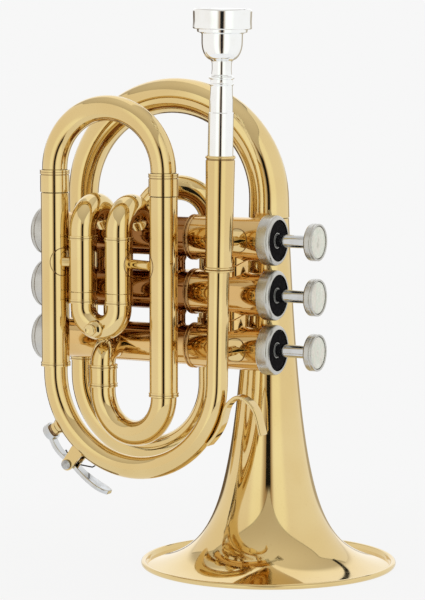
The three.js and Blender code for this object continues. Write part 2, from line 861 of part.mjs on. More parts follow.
function secondSlide() {
  const start = secondSleeveEndY + gap;
  const route = new Route(point(secondSlideX, start - secondLegLength, valveZ(2)), alongY, secondLegRadius,
    secondLegRadius - wall);
  route.straight(secondLegLength).step(secondSleeveRadius).straight(secondStraight)
    .step(secondBowTube).bend(secondSlidePitch / 2, Math.PI, downward)
    .step(secondSleeveRadius).straight(secondStraight)
    .step(secondLegRadius).straight(secondLegLength);
  return pipe(route);
}

// Third valve slide: out of the back of the lowest valve and up behind the others
function thirdSleeve(x) {
  const bottomZ = valveZ(3) + backElbowRadius;
  const top = bottomZ + thirdSleeveLength;
  const route = new Route(point(x, backY, top), downward, sleeveRadius, sleeveBore);
  route.ring(ferruleRing, ferruleRadius).straight(thirdSleeveLength - ferruleRing)
    .step(firstElbowTube, portRadius)
    .bend(backElbowRadius, Math.PI / 2, leftward)
    .straight(backY - backElbowRadius);
  return cut(pipe(route), casingSpace(3));
}

function thirdSlide() {
  const start = valveZ(3) + backElbowRadius + thirdSleeveLength + gap;
  const route = new Route(point(thirdSlideX, backY, start - thirdLegLength), alongZ, slideLegRadius,
    slideLegRadius - wall);
  route.straight(thirdLegLength).step(sleeveRadius).straight(thirdStraight)
    .step(bowTubeRadius).bend(thirdSlidePitch / 2, Math.PI, alongY)
    .step(sleeveRadius).straight(thirdStraight)
    .step(slideLegRadius).straight(thirdLegLength);
  return pipe(route);
}

// Back run
function bell() {
  const flare = Array.from({ length: bellSteps }, (_, i) => {
    const height = ((i + 1) / bellSteps) ** bellCrowdShare;
    return [hornRadius(height), height * bellHeight];
  });
  const bead = bellBeadRadius;
  const [rim, edge] = [bellRimRadius, bead / 2];
  return clean(turnedRing([
    [rim - 2 * bead, bead],
    [rim - 2 * bead + edge, 0],
    [rim - edge, 0],
    [rim, edge],
    [rim, 2 * bead - edge],
    [rim - edge, 2 * bead],
    [rim - 2 * bead, 2 * bead],
    ...flare,
    ...flare.map(([radius, height]) => [radius - bellWall, height]).reverse(),
  ], bellSides).translate(bellX, bellY, 0));
}

function bellBow() {
  const span = Math.hypot(bellX - farLegX, bellY - farLegY);
  const across = point(bellY - farLegY, -(bellX - farLegX), 0).normalize();
  const route = new Route(point(bellX, bellY, bellHeight + gap), alongZ, bellEndRadius + bellFerruleWall,
    bellEndRadius - wall);
  route.straight(bellFerruleLength).step(bellEndRadius)
    .bend(span / 2, Math.PI, across, bellLegRadius, bellLegRadius - wall)
    .straight(bellHeight + gap + bellFerruleLength - bellLegBottomZ, tailTubeRadius, tailTubeRadius - wall);
  return pipe(route, bellBowSides);
}

function tailBow() {
  const route = new Route(point(farLegX, farLegY, bellLegBottomZ - gap), downward, ferruleRadius,
    tailTubeRadius - wall);
  route.straight(ferruleRing).step(tailTubeRadius)
    .straight(bellLegBottomZ - gap - ferruleRing - tailBowCentreZ)
    .bend((tailRightX - farLegX) / 2, Math.PI, forward)
    .straight(tailJointZ - tailBowCentreZ);
  return pipe(route);
}

function tailArc() {
  const across = point(Math.sin(tailArcTurn), -Math.cos(tailArcTurn), 0);
  const route = new Route(point(tailRightX, farLegY, tailJointZ + gap), alongZ, ferruleRadius,
    tailArcTube - wall);
  route.straight(tailFerruleLength).step(tailTubeRadius)
    .straight(tailArcCentreZ - tailJointZ - gap - tailFerruleLength, tailArcTube)
    .bend(tailArcRadius, Math.PI, across).straight(tailArcCentreZ - topValveZ);
  return cut(pipe(route), casingSpace(1));
}

// A brace: a post between two tubes with a round foot bent to each
function brace(from, to, tubes) {
  const post = rod(from, to, braceRadius, pipeSides);
  const along = to.clone().sub(from).normalize();
  const feet = tubes.map(({ at, axis, radius }, end) => {
    const reach = radius + gap + braceFootWall;
    const shell = rod(at.clone().addScaledVector(axis, -braceFootRadius - cutOver),
      at.clone().addScaledVector(axis, braceFootRadius + cutOver), reach);
    const side = end === 0 ? 1 : -1;
    const blank = rod(at, at.clone().addScaledVector(along, side * (reach + cutOver)),
      Math.min(braceFootRadius, reach - gap));
    return shared(shell, blank);
  });
  const spaces = tubes.map(({ at, axis, radius }) => rod(
    at.clone().addScaledVector(axis, -2 * braceFootRadius),
    at.clone().addScaledVector(axis, 2 * braceFootRadius),
    radius + gap,
  ));
  return cut(joined(post, ...feet), ...spaces);
}

function slideBrace(fromX, toX) {
  const [from, to] = [point(fromX, frontY, slideBraceZ), point(toX, frontY, slideBraceZ)];
  return brace(from, to, [from, to].map((at) => ({ at, axis: alongZ, radius: sleeveRadius })));
}

const leadBase = leadpipeRoute().stations.at(-2).centre;
const leadAxis = point(Math.sin(leadLean), 0, Math.cos(leadLean));
const onLead = (height) => leadBase.clone().addScaledVector(leadAxis, height);

function leadBrace(number, radius) {
  const z = valveZ(number);
  const from = onLead((z - leadBase.z) / leadAxis.z);
  const to = point(from.x, 0, z);
  return brace(from, to, [
    { at: from, axis: leadAxis, radius },
    { at: to, axis: alongX, radius: casingTopRadius },
  ]);
}

function receiver() {
  const shankBore = shankTopRadius + gap;
  const shankBoreEnd = shankEndRadius + gap;
  const pipeBore = leadRadius + gap;
  const top = receiverBottom + receiverLength;
  const pipeTop = leadTopHeight + gap;
  return clean(turnedRing([
    [pipeBore, receiverBottom],
    [receiverRingRadius, receiverBottom],
    [receiverRingRadius, receiverBottom + receiverBead],
    [receiverBottomRadius, receiverBottom + receiverBead],
    [receiverTopRadius, top - receiverBead],
    [receiverBeadRadius, top - receiverBead],
    [receiverBeadRadius, top],
    [shankBore, top],
    [shankBoreEnd, top - mouthpieceInsert - gap],
    [pipeBore, pipeTop],
  ]));
}

function mouthpiece() {
  const base = receiverBottom + receiverLength - mouthpieceInsert;
  const top = base + mouthpieceLength;
  const down = ([radius, depth]) => [radius, top - depth];
  const outside = [
    [rimRadius - rimRound, 0],
    [rimRadius - rimRound / 4, rimRound / 2],
    [rimRadius, rimRound],
    [rimRadius, rimHeight - rimRound / 2],
    [rimRadius - rimRound, rimHeight],
    [cupBodyRadius + rimRound / 2, rimHeight + rimRound / 2],
    [cupBodyRadius, rimHeight + rimRound],
    [cupBodyRadius, cupBodyHeight - rimRound / 2],
    [(cupBodyRadius + stemNeckRadius) / 2, (cupBodyHeight + neckHeight) / 2],
    [stemNeckRadius, neckHeight],
    [stemNeckRadius, collarTop],
    [collarRadius, collarTop],
    [collarRadius, collarBottom],
    [stemNeckRadius, collarBottom],
    [stemNeckRadius, shankStepTop],
    [shankStepRadius, shankStepTop],
    [shankStepRadius, shankStepBottom],
    [shankTopRadius, shankStepBottom],
    [shankTopRadius, mouthpieceLength - mouthpieceInsert],
    [shankEndRadius, mouthpieceLength],
  ];
  const inside = [
    [backboreRadius, mouthpieceLength],
    [throatRadius, cupDepth + rimHeight],
    [throatRadius, cupDepth + rimRound],
    [cupMouthRadius - rimRound, cupDepth - rimRound],
    [cupMouthRadius, rimRound],
    [cupMouthRadius + rimRound / 2, 0],
  ];
  return clean(turnedRing([...outside, ...inside].map(down), mouthpieceSides));
}

// Hook for the little finger: a strap that follows the leadpipe's bow, then lifts off and curls over
function pinkyHook() {
  const reach = leadBowEndRadius + gap + hookThickness / 2;
  const angles = [hookFootAngle, (hookFootAngle + hookLiftAngle) / 2, hookLiftAngle];
  const foot = angles.map((angle) => onBow(angle, reach));
  const curl = hookCurlShares.map(([across, rise]) => point(leadBowCentre.x + across * hookSpan, frontY,
    leadBowCentre.z - rise * hookDrop));
  const line = new THREE.SplineCurve([...foot, ...curl].map((at) => new THREE.Vector2(at.x, at.z)));
  const route = leadpipeRoute();
  route.stations.forEach((station) => { station.outer += gap; });
  return cut(band(line.getPoints(hookSteps), hookThickness, hookWidth), stock(route));
}

// A flat strip along a line of [across, up] points, cut square at both ends
function band(line, thickness, width) {
  const edge = (side) => line.map((at, i) => {
    const along = line[Math.min(i + 1, line.length - 1)].clone().sub(line[Math.max(i - 1, 0)]).normalize();
    const out = (side * thickness) / 2;
    return new THREE.Vector2(at.x - out * along.y, at.y + out * along.x);
  });
  const outline = new THREE.Shape([...edge(1), ...edge(-1).reverse()]);
  return new THREE.ExtrudeGeometry(outline, { depth: width, bevelEnabled: false })
    .rotateX(Math.PI / 2).translate(0, frontY + width / 2, 0);
}

// Water key
function strapOnBow(fromAngle, toAngle, fromReach, toReach, width, bulge = 0) {
  const line = Array.from({ length: leverSteps + 1 }, (_, i) => {
    const share = i / leverSteps;
    const swell = bulge * Math.sin(Math.PI * share) + leverThickness / 2;
    const at = onBow(THREE.MathUtils.lerp(fromAngle, toAngle, share),
      THREE.MathUtils.lerp(fromReach, toReach, share) + swell);
    return new THREE.Vector2(at.x, at.z);
  });
  return band(line, leverThickness, width);
}

const corkReach = nippleReach + gap;
const corkBackReach = corkReach + corkThickness;
const pivotAt = (y) => onBow(pivotAngle, pivotReach, frontY + y);

function keyCork() {
  const [face, back] = [onBow(nippleAngle, corkReach), onBow(nippleAngle, corkBackReach)];
  return clean(rod(face, back, corkRadius, pipeSides));
}

function keyLever() {
  const cupBack = corkBackReach + gap + leverThickness;
  const cup = rod(onBow(nippleAngle, corkBackReach - corkCupDepth), onBow(nippleAngle, cupBack),
    corkRadius + gap + corkCupWall, pipeSides);
  const cupWell = rod(onBow(nippleAngle, 0), onBow(nippleAngle, corkBackReach + gap), corkRadius + gap,
    pipeSides);
  const strapReach = pivotReach - leverThickness / 2;
  const arm = strapOnBow(nippleAngle, pivotAngle, corkBackReach + gap, strapReach, leverWidth, leverBulge);
  const thumb = strapOnBow(pivotAngle, thumbAngle, strapReach, thumbReach, leverWidth);
  const pad = strapOnBow(THREE.MathUtils.lerp(pivotAngle, thumbAngle, thumbPadShare), thumbAngle,
    THREE.MathUtils.lerp(strapReach, thumbReach, thumbPadShare), thumbReach, thumbWidth);
  const eye = rod(pivotAt(-leverWidth / 2), pivotAt(leverWidth / 2), leverEyeRadius, pipeSides);
  const pivot = rod(pivotAt(-leverWidth), pivotAt(leverWidth), screwRadius + gap, pipeSides);
  return cut(joined(cup, arm, thumb, pad, eye), cupWell, pivot);
}

const earOuterY = earY + earThickness / 2 + gap;
const keySpringPitch = 2 * keySpringWire + gap;

function keyScrew() {
  const shaft = rod(pivotAt(-earOuterY - screwHeadLength / 2),
    pivotAt(earOuterY + (keySpringTurns + 1) * keySpringPitch), screwRadius, pipeSides);
  const head = rod(pivotAt(-earOuterY - screwHeadLength), pivotAt(-earOuterY), screwHeadRadius, pipeSides);
  return joined(shaft, head);
}

// The key's wire spring: turns on the screw, one arm on the lever and a hooked one on the tube
function keySpring() {
  const radius = screwRadius + gap + keySpringWire;
  const startY = frontY + earOuterY + keySpringWire;
  const endY = startY + keySpringTurns * keySpringPitch;
  const steps = keySpringTurns * springSteps;
  const centre = onBow(pivotAngle, pivotReach, 0);
  const turnsOf = Array.from({ length: steps + 1 }, (_, step) => {
    const angle = pivotAngle + (2 * Math.PI * step) / springSteps;
    const along = startY + (keySpringPitch * step) / springSteps;
    return centre.clone().add(point(radius * Math.cos(angle), along, radius * Math.sin(angle)));
  });
  const line = [
    onBow(pivotAngle - keySpringArmAngle, pivotReach, startY),
    ...turnsOf,
    onBow(pivotAngle + keySpringArmAngle, pivotReach - keySpringHook / 2, endY),
    onBow(pivotAngle + keySpringKneeShare * keySpringArmAngle, pivotReach - keySpringHook, endY),
    onBow(pivotAngle + keySpringArmAngle, leadBowEndRadius + gap + keySpringWire, endY),
  ];
  const route = new Route(line[0], alongX, keySpringWire, 0);
  route.stations = line.map((at, i) => {
    const along = line[Math.min(i + 1, line.length - 1)].clone().sub(line[Math.max(i - 1, 0)]).normalize();
    const across = along.clone().cross(alongY).normalize();
    return { centre: at, across, up: along.clone().cross(across), outer: keySpringWire };
  });
  return clean(stock(route, springSides));
}

for (const number of [1, 2, 3]) {
  instrument.add(valve(number));
}
for (const upper of [1, 2]) {
  place(`transfer_tube_${upper}`, transferTube(upper), lacqueredBrass);
}

const leadGroup = new THREE.Group();
leadGroup.position.copy(leadBase);
leadGroup.rotation.y = leadLean;
instrument.add(leadGroup);
place('mouthpiece', mouthpiece(), silverPlate, leadGroup);
place('mouthpiece_receiver', receiver(), lacqueredBrass, leadGroup);
place('leadpipe', leadpipe(), lacqueredBrass);
place('left_slide_sleeve', clean(sleeve(leftSleeveX, leftSleeveBottomZ)), lacqueredBrass);
place('tuning_slide', clean(tuningSlide()), lacqueredBrass);
place('right_slide_sleeve', clean(sleeve(rightSleeveX, rightSleeveBottomZ)), lacqueredBrass);
place('inlet_bow', inletBow(), lacqueredBrass);

place('first_slide_sleeve_1', firstSleeve(firstSlideX), lacqueredBrass);
place('first_slide_sleeve_2', firstSleeve(firstSlideX + firstSlidePitch), lacqueredBrass);
place('first_slide', firstSlide(), lacqueredBrass);
place('second_slide_sleeve_1', secondSleeve(secondSlideX), lacqueredBrass);
place('second_slide_sleeve_2', secondSleeve(secondSlideX + secondSlidePitch), lacqueredBrass);
place('second_slide', clean(secondSlide()), lacqueredBrass);
place('third_slide_sleeve_1', thirdSleeve(thirdSlideX), lacqueredBrass);
place('third_slide_sleeve_2', thirdSleeve(thirdSlideX + thirdSlidePitch), lacqueredBrass);
place('third_slide', clean(thirdSlide()), lacqueredBrass);

place('bell', bell(), lacqueredBrass);
place('bell_bow', clean(bellBow()), lacqueredBrass);
place('tail_bow', clean(tailBow()), lacqueredBrass);
place('tail_arc', tailArc(), lacqueredBrass);

place('slide_brace_1', slideBrace(leftSleeveX, firstSlideX), lacqueredBrass);
place('slide_brace_2', slideBrace(firstSlideX + firstSlidePitch, rightSleeveX), lacqueredBrass);
place('leadpipe_brace_1', leadBrace(1, receiverTopRadius), lacqueredBrass);
place('leadpipe_brace_2', leadBrace(3, leadRadius), lacqueredBrass);
place('pinky_hook', pinkyHook(), lacqueredBrass);

place('water_key_lever', keyLever(), nickel);
place('water_key_cork', keyCork(), cork);
place('water_key_screw', keyScrew(), steel);
place('water_key_spring', keySpring(), steel);

export default instrument;
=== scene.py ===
"""Looks of the pocket trumpet: fine tubing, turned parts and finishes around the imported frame."""

import math

import bmesh
import bpy
from mathutils import Matrix, Vector


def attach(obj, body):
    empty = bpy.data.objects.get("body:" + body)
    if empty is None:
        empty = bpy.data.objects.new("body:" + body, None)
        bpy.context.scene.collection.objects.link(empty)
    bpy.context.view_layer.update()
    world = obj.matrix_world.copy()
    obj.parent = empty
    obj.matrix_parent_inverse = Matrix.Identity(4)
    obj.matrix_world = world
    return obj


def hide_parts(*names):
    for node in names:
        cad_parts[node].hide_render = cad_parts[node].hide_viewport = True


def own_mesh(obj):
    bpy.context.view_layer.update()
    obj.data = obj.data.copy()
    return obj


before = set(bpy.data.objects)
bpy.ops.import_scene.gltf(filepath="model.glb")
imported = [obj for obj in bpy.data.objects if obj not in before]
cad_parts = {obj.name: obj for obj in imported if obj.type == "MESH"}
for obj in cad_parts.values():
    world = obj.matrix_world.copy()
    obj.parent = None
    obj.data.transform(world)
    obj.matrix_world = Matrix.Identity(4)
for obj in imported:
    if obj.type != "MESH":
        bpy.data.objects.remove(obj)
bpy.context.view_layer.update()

# Sizes are in millimetres, measured from the valves' bottom caps (X), the valve axes (Y) and the bell's
# rim (Z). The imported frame's zero lies here
MM = 0.001
ZERO_X, ZERO_Y = 81.7, 24.525

UP, DOWN = Vector((0, 0, 1)), Vector((0, 0, -1))
BACK, FRONT = Vector((0, 1, 0)), Vector((0, -1, 0))
RIGHT, LEFT = Vector((1, 0, 0)), Vector((-1, 0, 0))

# Fineness
TUBE_SIDES = 48
TURNED_SIDES = 64
BEND_STEP = math.radians(4)
SMALL_SIDES, WIRE_SIDES, FLOOR_SIDES = 40, 8, 96
SHARP, BLUNT = math.radians(32), math.radians(60)
EASED_EDGE = 0.12
VERT, EDGE = bmesh.types.BMVert, bmesh.types.BMEdge

# The attribute that tells how much old polish, tarnish and painted shade darken the grooves, from 0 to 1, and
# how strongly it shows
GRIME_AND_SHADE, GRIME_AND_SHADE_SHARE = "grime", 0.6

# Fits: the gap between pieces, a tube's wall, how deep a mouth is hollow and the room past a slide's leg
GAP = 0.3
WALL = 0.6
MOUTH_DEPTH = 4.0
ROOM = 1.0

# Valve block
VALVES = (1, 2, 3)
TOP_VALVE_Z = 156.6
VALVE_PITCH = 25.2
CASING_RADIUS = 9.2
CASING_TOP_RADIUS = 10.05
CASING_BORE = 8.4
CASING_START, CASING_STEP, CASING_END = 1.6, 80.4, 120.0
CASING_RING_RADIUS = 10.6
CASING_BEAD = 0.8
CASING_RING_PITCH = 1.6
CASING_SEAM = 0.6
SEAT_DEPTH = 0.25
# Where the casings lie behind the slides, which the valve brass darkens there with painted shade
RECESS_START, RECESS_END, RECESS_BOTTOM, RECESS_SOFT = 24.0, 79.0, 106.0, 6.0

BOTTOM_CAP_RADIUS = 11.1
BOTTOM_CAP_NOSE = 7.4
BOTTOM_CAP_LIP = 1.1
BOTTOM_CAP_START, BOTTOM_CAP_END = -2.6, 8.4
BOTTOM_CAP_FLOOR = 1.8
CAP_EASE = 0.2
VENT_RADIUS = 1.2
GROOVE = 0.25
LINE_WIDTH, LINE_DEPTH = 0.5, 0.3

TOP_CAP_RADIUS = 11.55
TOP_CAP_FACE = CASING_END + 5
TOP_CAP_LENGTH = 6.6
TOP_CAP_CHAMFER = 0.8
TOP_CAP_RECESS = 9.55
TOP_CAP_FLOOR = 1.4
TOP_CAP_COLLAR_DROP = 0.2
TOP_CAP_LIP, TOP_CAP_COLLAR = 0.35, 0.35
FELT_THICKNESS = 2.2
FELT_DEPTH = 0.5
FELT_EASE = 0.4

STROKE = 16.0
PISTON_END = CASING_END - 2
SPRING_SEAT, SPRING_TOP = 95.8, PISTON_END - 2.1
SPRING_RADIUS, SPRING_WIRE = 4.9, 0.4
SPRING_TURNS, SPRING_STEPS = 8, 24
STEM_RADIUS, STEM_EASE = 2.95, 0.25
BUTTON_RADIUS = 8.5
BUTTON_LENGTH = 4.5
BUTTON_RIM, BUTTON_EASE = 0.95, 0.1
BUTTON_BACK = TOP_CAP_FACE + STROKE
PEARL_THICKNESS = 1.2
PEARL_CROWN, PEARL_STEPS = 0.5, 10

# Front run
FRONT_Y = -26.0
SLEEVE_RADIUS = 6.5
SLEEVE_BORE = 5.85
SLIDE_LEG = 5.35
RING_RADIUS = 6.9
RING_WIDTH = 1.9
# A band's groove, and how much grime and painted shade darken it
RING_GROOVE, RING_GRIME_AND_SHADE = 0.45, 0.7
BOW_TUBE = 5.85
LEFT_SLEEVE_X, LEFT_SLEEVE_Z = 21.6, 95.9
RIGHT_SLEEVE_X, RIGHT_SLEEVE_Z = 79.2, 85.2
SLEEVE_TOP = 187.5
FERRULE_LENGTH = 10.2
TUNING_LEG = 44.0
INSERT = 6.0

LEAD_BOW, LEAD_DROP = 42.6, 2.1
LEAD_LEAN = math.radians(0.95)
LEAD_RADIUS = 4.95
LEAD_BOW_TUBE = 5.5
RECEIVER_BOTTOM = 51.1
RECEIVER_LENGTH = 52.4
RECEIVER_RADIUS, RECEIVER_TOP_RADIUS = 6.1, 6.6
RECEIVER_BEAD = 2.0
RECEIVER_BEAD_RADIUS, RECEIVER_RING_RADIUS = 6.85, 6.85
MOUTHPIECE_LENGTH = 87.0
MOUTHPIECE_INSERT = 21.0
MOUTHPIECE_EASE = 0.06
RIM_RADIUS, RIM_CORNER, RIM_BITE, RIM_DROP = 13.25, 1.3, 1.75, 0.03
CUP_TOP, CUP_WIDE, CUP_DEEP = 3.0, 6.2, 10.5
THROAT, THROAT_START, THROAT_END, BACKBORE = 1.9, 14.0, 21.0, 4.1
SHANK_RADIUS, SHANK_TIP, SHANK_ROOM = 5.75, 4.8, 4.4
LEAD_TOP = RECEIVER_BOTTOM + RECEIVER_LENGTH - MOUTHPIECE_INSERT - SHANK_ROOM

INLET_TURN = math.radians(11.5)
INLET_BOW = 18.65
INLET_TUBE = 5.9
INLET_ELBOW = 8.0
INLET_FERRULE_START, INLET_FERRULE = 1.6, 10.4

FIRST_X, FIRST_PITCH = 36.6, 19.1
FIRST_SLEEVE_Z, FIRST_SLEEVE = 131.7, 25.8
FIRST_ELBOW, FIRST_ELBOW_TURN = 10.9, math.radians(145)
FIRST_ELBOW_RISE = 2.0
ELBOW_TUBE = 6.2
FIRST_LEG = 18.0
FIRST_FERRULE = 5.2
FIRST_STRAIGHT = 1.7
KNOB_REACH, KNOB_FOOT, KNOB_SUNK = 5.6, 4.0, 2.0

# Back run
THIRD_X, SECOND_X, LOOP_PITCH = 27.6, 40.4, 26.6
BACK_Y = 21.0
THIRD_ELBOW = 9.5
THIRD_SLEEVE = 22.0
THIRD_LEG, THIRD_STRAIGHT = 17.0, 2.5
SECOND_SLEEVE, SECOND_SLEEVE_END = 5.8, 24.0
SECOND_LEG_RADIUS, SECOND_TUBE = 4.75, 5.2
SECOND_LEG, SECOND_STRAIGHT = 11.0, 5.0

TRANSFER_X, TRANSFER_RADIUS = 68.9, 6.3
TRANSFER_FLARE, TRANSFER_FLARE_LENGTH = 0.9, 2.0
# Posts between the casings: the upper valve, the end that the post is at and its place along the valves
BRIDGES = ((1, "upper", 102.6), (2, "upper", 101.3), (1, "lower", 30.0))
BRIDGE_RADIUS, BRIDGE_FLARE = 6.0, 0.7

BELL_X, BELL_Y = 105.7, 28.0
BELL_RADIUS, BELL_HEIGHT = 60.3, 164.4
BELL_BEAD = 1.3
BELL_WALL = 0.7
BELL_SIDES, BELL_STEPS = 128, 72
# The horn's curve: radius over rim radius at each share of the height is
# SWELL * (height + OFFSET) ** -POWER - SINK
SWELL_SHARE, OFFSET_SHARE, POWER_SHARE, SINK_SHARE = 0.3942, 0.0232, 0.3037, 0.2366
BELL_CROWD_SHARE = 2.6
FAR_X, FAR_Y = 9.8, 20.5
BELL_FERRULE, BELL_FERRULE_WALL = 8.0, 0.2
BELL_LEG = 7.1
BELL_LEG_BOTTOM = 95.0
TAIL_X, TAIL_TUBE = 79.5, 6.3
TAIL_BOW_Z, TAIL_JOINT_Z = 86.4, 108.0
TAIL_ARC, TAIL_ARC_Z = 15.8, 162.4
TAIL_ARC_TURN = math.radians(27)
TAIL_ARC_TUBE = 5.85
TAIL_FERRULE = 9.0

# Braces, hook and water key
BRACE_Z = 145.0
BRACE_RADIUS = 2.3
FOOT_RADIUS, FOOT_WALL, FOOT_EASE = 6.0, 0.7, 0.15
FOOT_SIDES, FOOT_RINGS = 56, 9
# The width of a brace foot's rim, and how much grime and painted shade darken its edge
FOOT_LINE, FOOT_GRIME_AND_SHADE = 0.7, 2.2
# Each slide brace's feet: their radii, and how far each is turned to the front round its tube
FOOT_RADII = ((6.7, 4.6), (6.5, 6.5))
FOOT_TURNS = ((math.radians(24), math.radians(14)), (math.radians(-16), math.radians(16)))
HOOK_THICKNESS, HOOK_WIDTH = 1.6, 6.4
HOOK_FOOT, HOOK_LIFT = math.radians(-37), math.radians(-22)
HOOK_SPAN, HOOK_DROP = 67.0, 22.5
HOOK_CURL_SHARES = ((0.718, 0.42), (0.82, 0.225), (0.94, 0.47), (1.0, 1.0))
HOOK_SUNK = (1.3, 0.6, 0.3)
HOOK_STEPS, HOOK_EASE = 8, 0.8
NIPPLE_ANGLE, PIVOT_ANGLE, THUMB_ANGLE = math.radians(212.7), math.radians(231.3), math.radians(255.9)
NIPPLE_RADIUS, NIPPLE_HOLE, NIPPLE_REACH, NIPPLE_SUNK = 3.0, 1.5, 8.6, 1.5
NIPPLE_FLARE, NIPPLE_WAIST = 1.2, 0.5
PIVOT_REACH = 12.8
EAR_THICKNESS, EAR_RADIUS, EAR_WIDTH, EAR_EASE = 1.5, 2.9, 7.6, 0.2
LEVER_WIDTH, LEVER_THICKNESS, LEVER_BULGE, LEVER_EASE = 4.6, 2.0, 1.4, 0.45
# The thumb blade, and the shares of its length where its tip starts and of its width that the tip loses
THUMB_REACH, THUMB_WIDTH, THUMB_TIP, THUMB_ROUND = 14.4, 8.6, 0.72, 0.8
EYE_RADIUS, EYE_EASE = 2.7, 0.3
SCREW_RADIUS, SCREW_HEAD, SCREW_HEAD_LENGTH, SCREW_CHAMFER = 1.15, 2.3, 1.1, 0.4
CORK_RADIUS, CORK_THICKNESS, CORK_EASE = 2.9, 2.2, 0.3
CORK_CUP_WALL, CORK_CUP_DEPTH = 0.9, 1.5
CUP_CORNER, CUP_CROWN = 1.2, 0.3
KEY_WIRE, KEY_TURNS, KEY_STEPS, KEY_HOOK = 0.35, 2, 16, 5.0
KEY_ARM = math.radians(8)


def at(x, y, z):
    """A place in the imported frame, in metres, from millimetres."""
    return Vector((x - ZERO_X, y - ZERO_Y, z)) * MM


def valve_z(number):
    return TOP_VALVE_Z - (number - 1) * VALVE_PITCH


def facing(place, heading):
    """The frame at a place whose +Z runs along a heading."""
    turn = UP.rotation_difference(heading)
    return Matrix.Translation(place) @ turn.to_matrix().to_4x4()


# Finishes
class Value:
    """A node's output that Python's operators work on: each adds the Math node that it stands for."""

    def __init__(self, finish, socket):
        self.finish = finish
        self.socket = socket

    def math(self, operation, *others):
        return self.finish.node("ShaderNodeMath", {"operation": operation}, dict(enumerate((self, *others))))

    def __add__(self, other):
        return self.math("ADD", other)

    def __mul__(self, other):
        return self.math("MULTIPLY", other)

    def __sub__(self, other):
        return self.math("SUBTRACT", other)

    def __rsub__(self, other):
        return self.finish.node("ShaderNodeMath", {"operation": "SUBTRACT"}, {0: other, 1: self})

    __radd__ = __add__
    __rmul__ = __mul__


class Finish:
    """A node tree: a material of the record's slot, or the world's."""

    def __init__(self, tree):
        self.tree = tree
        self.tree.nodes.clear()

    def node(self, kind, settings=None, inputs=None, output=0):
        """Adds a node, sets it up, then fills its sockets with values or links."""
        node = self.tree.nodes.new(kind)
        for name, value in (settings or {}).items():
            if name == "stops":
                self.stops(node.color_ramp, value)
            else:
                setattr(node, name, value)
        for name, value in (inputs or {}).items():
            if isinstance(value, Value):
                self.tree.links.new(value.socket, node.inputs[name])
            else:
                node.inputs[name].default_value = value
        return Value(self, node.outputs[output]) if len(node.outputs) else node

    @staticmethod
    def stops(ramp, stops):
        while len(ramp.elements) < len(stops):
            ramp.elements.new(1)
        for element, (place, colour) in zip(ramp.elements, stops):
            element.position = place
            element.color = colour

    def vector(self, operation, *values, output=0):
        return self.node("ShaderNodeVectorMath", {"operation": operation}, dict(enumerate(values)), output)

    def scaled(self, vector, factors):
        return self.vector("MULTIPLY", vector, factors)

    def noise(self, vector, scale, detail=3.0, roughness=0.55):
        return self.node("ShaderNodeTexNoise", {}, {
            "Vector": vector, "Scale": scale, "Detail": detail, "Roughness": roughness,
        })

    def spread(self, value, low, high, to_low=0.0, to_high=1.0):
        return self.node("ShaderNodeMapRange", {"interpolation_type": "SMOOTHSTEP"}, {
            "Value": value, "From Min": low, "From Max": high, "To Min": to_low, "To Max": to_high,
        })

    def blend(self, factor, first, second):
        """Mixes two colours."""
        node = self.tree.nodes.new("ShaderNodeMix")
        node.data_type = "RGBA"
        sockets = {"Factor": factor, "A": first, "B": second}
        for socket in node.inputs:
            value = sockets.get(socket.name)
            if not socket.enabled or value is None:
                continue
            if isinstance(value, Value):
                self.tree.links.new(value.socket, socket)
            else:
                socket.default_value = value
        return Value(self, next(s for s in node.outputs if s.enabled))

    def grimed_and_shaded(self, colour):
        """A colour darkened in the piece's grooves, for the grime that they hold and for painted shade."""
        grime = self.node("ShaderNodeAttribute", {"attribute_name": GRIME_AND_SHADE}, output="Fac")
        # The dark brown of the grime and painted shade in the grooves
        return self.blend(grime * GRIME_AND_SHADE_SHARE, colour, tone(0.16, 0.075, 0.025))

    def relief(self, height, distance, strength=1.0):
        """A bump whose height is given from 0 to 1 and whose depth is in millimetres."""
        return self.node("ShaderNodeBump", {}, {
            "Height": height, "Distance": distance * MM, "Strength": strength,
        })


def material(slot, sockets, paint):
    """A material of one of the record's slots: fixed sockets, then a painted colour, roughness and relief."""
    made = bpy.data.materials.new(slot)
    made.use_nodes = True
    finish = Finish(made.node_tree)
    colour, roughness, relief = paint(finish, finish.node("ShaderNodeTexCoord", output="Object"))
    surface = finish.node("ShaderNodeBsdfPrincipled", {}, {
        **sockets, "Base Color": colour, "Roughness": roughness, "Normal": relief,
    })
    finish.node("ShaderNodeOutputMaterial", {}, {"Surface": surface})
    return slot, made


def tone(red, green, blue):
    return (red, green, blue, 1.0)


def paint_brass(finish, place):
    """Lacquered brass: slow drifts of tone, faint handling haze and the polish's finest waves."""
    drift = finish.spread(finish.noise(place, 28, 2), 0.35, 0.65)
    haze = finish.noise(place, 160, 4, 0.6)
    specks = finish.spread(finish.noise(place, 900, 2), 0.62, 0.75)
    colour = finish.blend(drift, tone(0.762, 0.592, 0.287), tone(0.732, 0.550, 0.250))
    return (
        finish.grimed_and_shaded(finish.blend(specks * 0.12, colour, tone(0.45, 0.25, 0.08))),
        finish.spread(haze, 0.3, 0.75, 0.035, 0.085) + specks * 0.05,
        finish.relief(finish.noise(place, 55, 2), 0.02),
    )


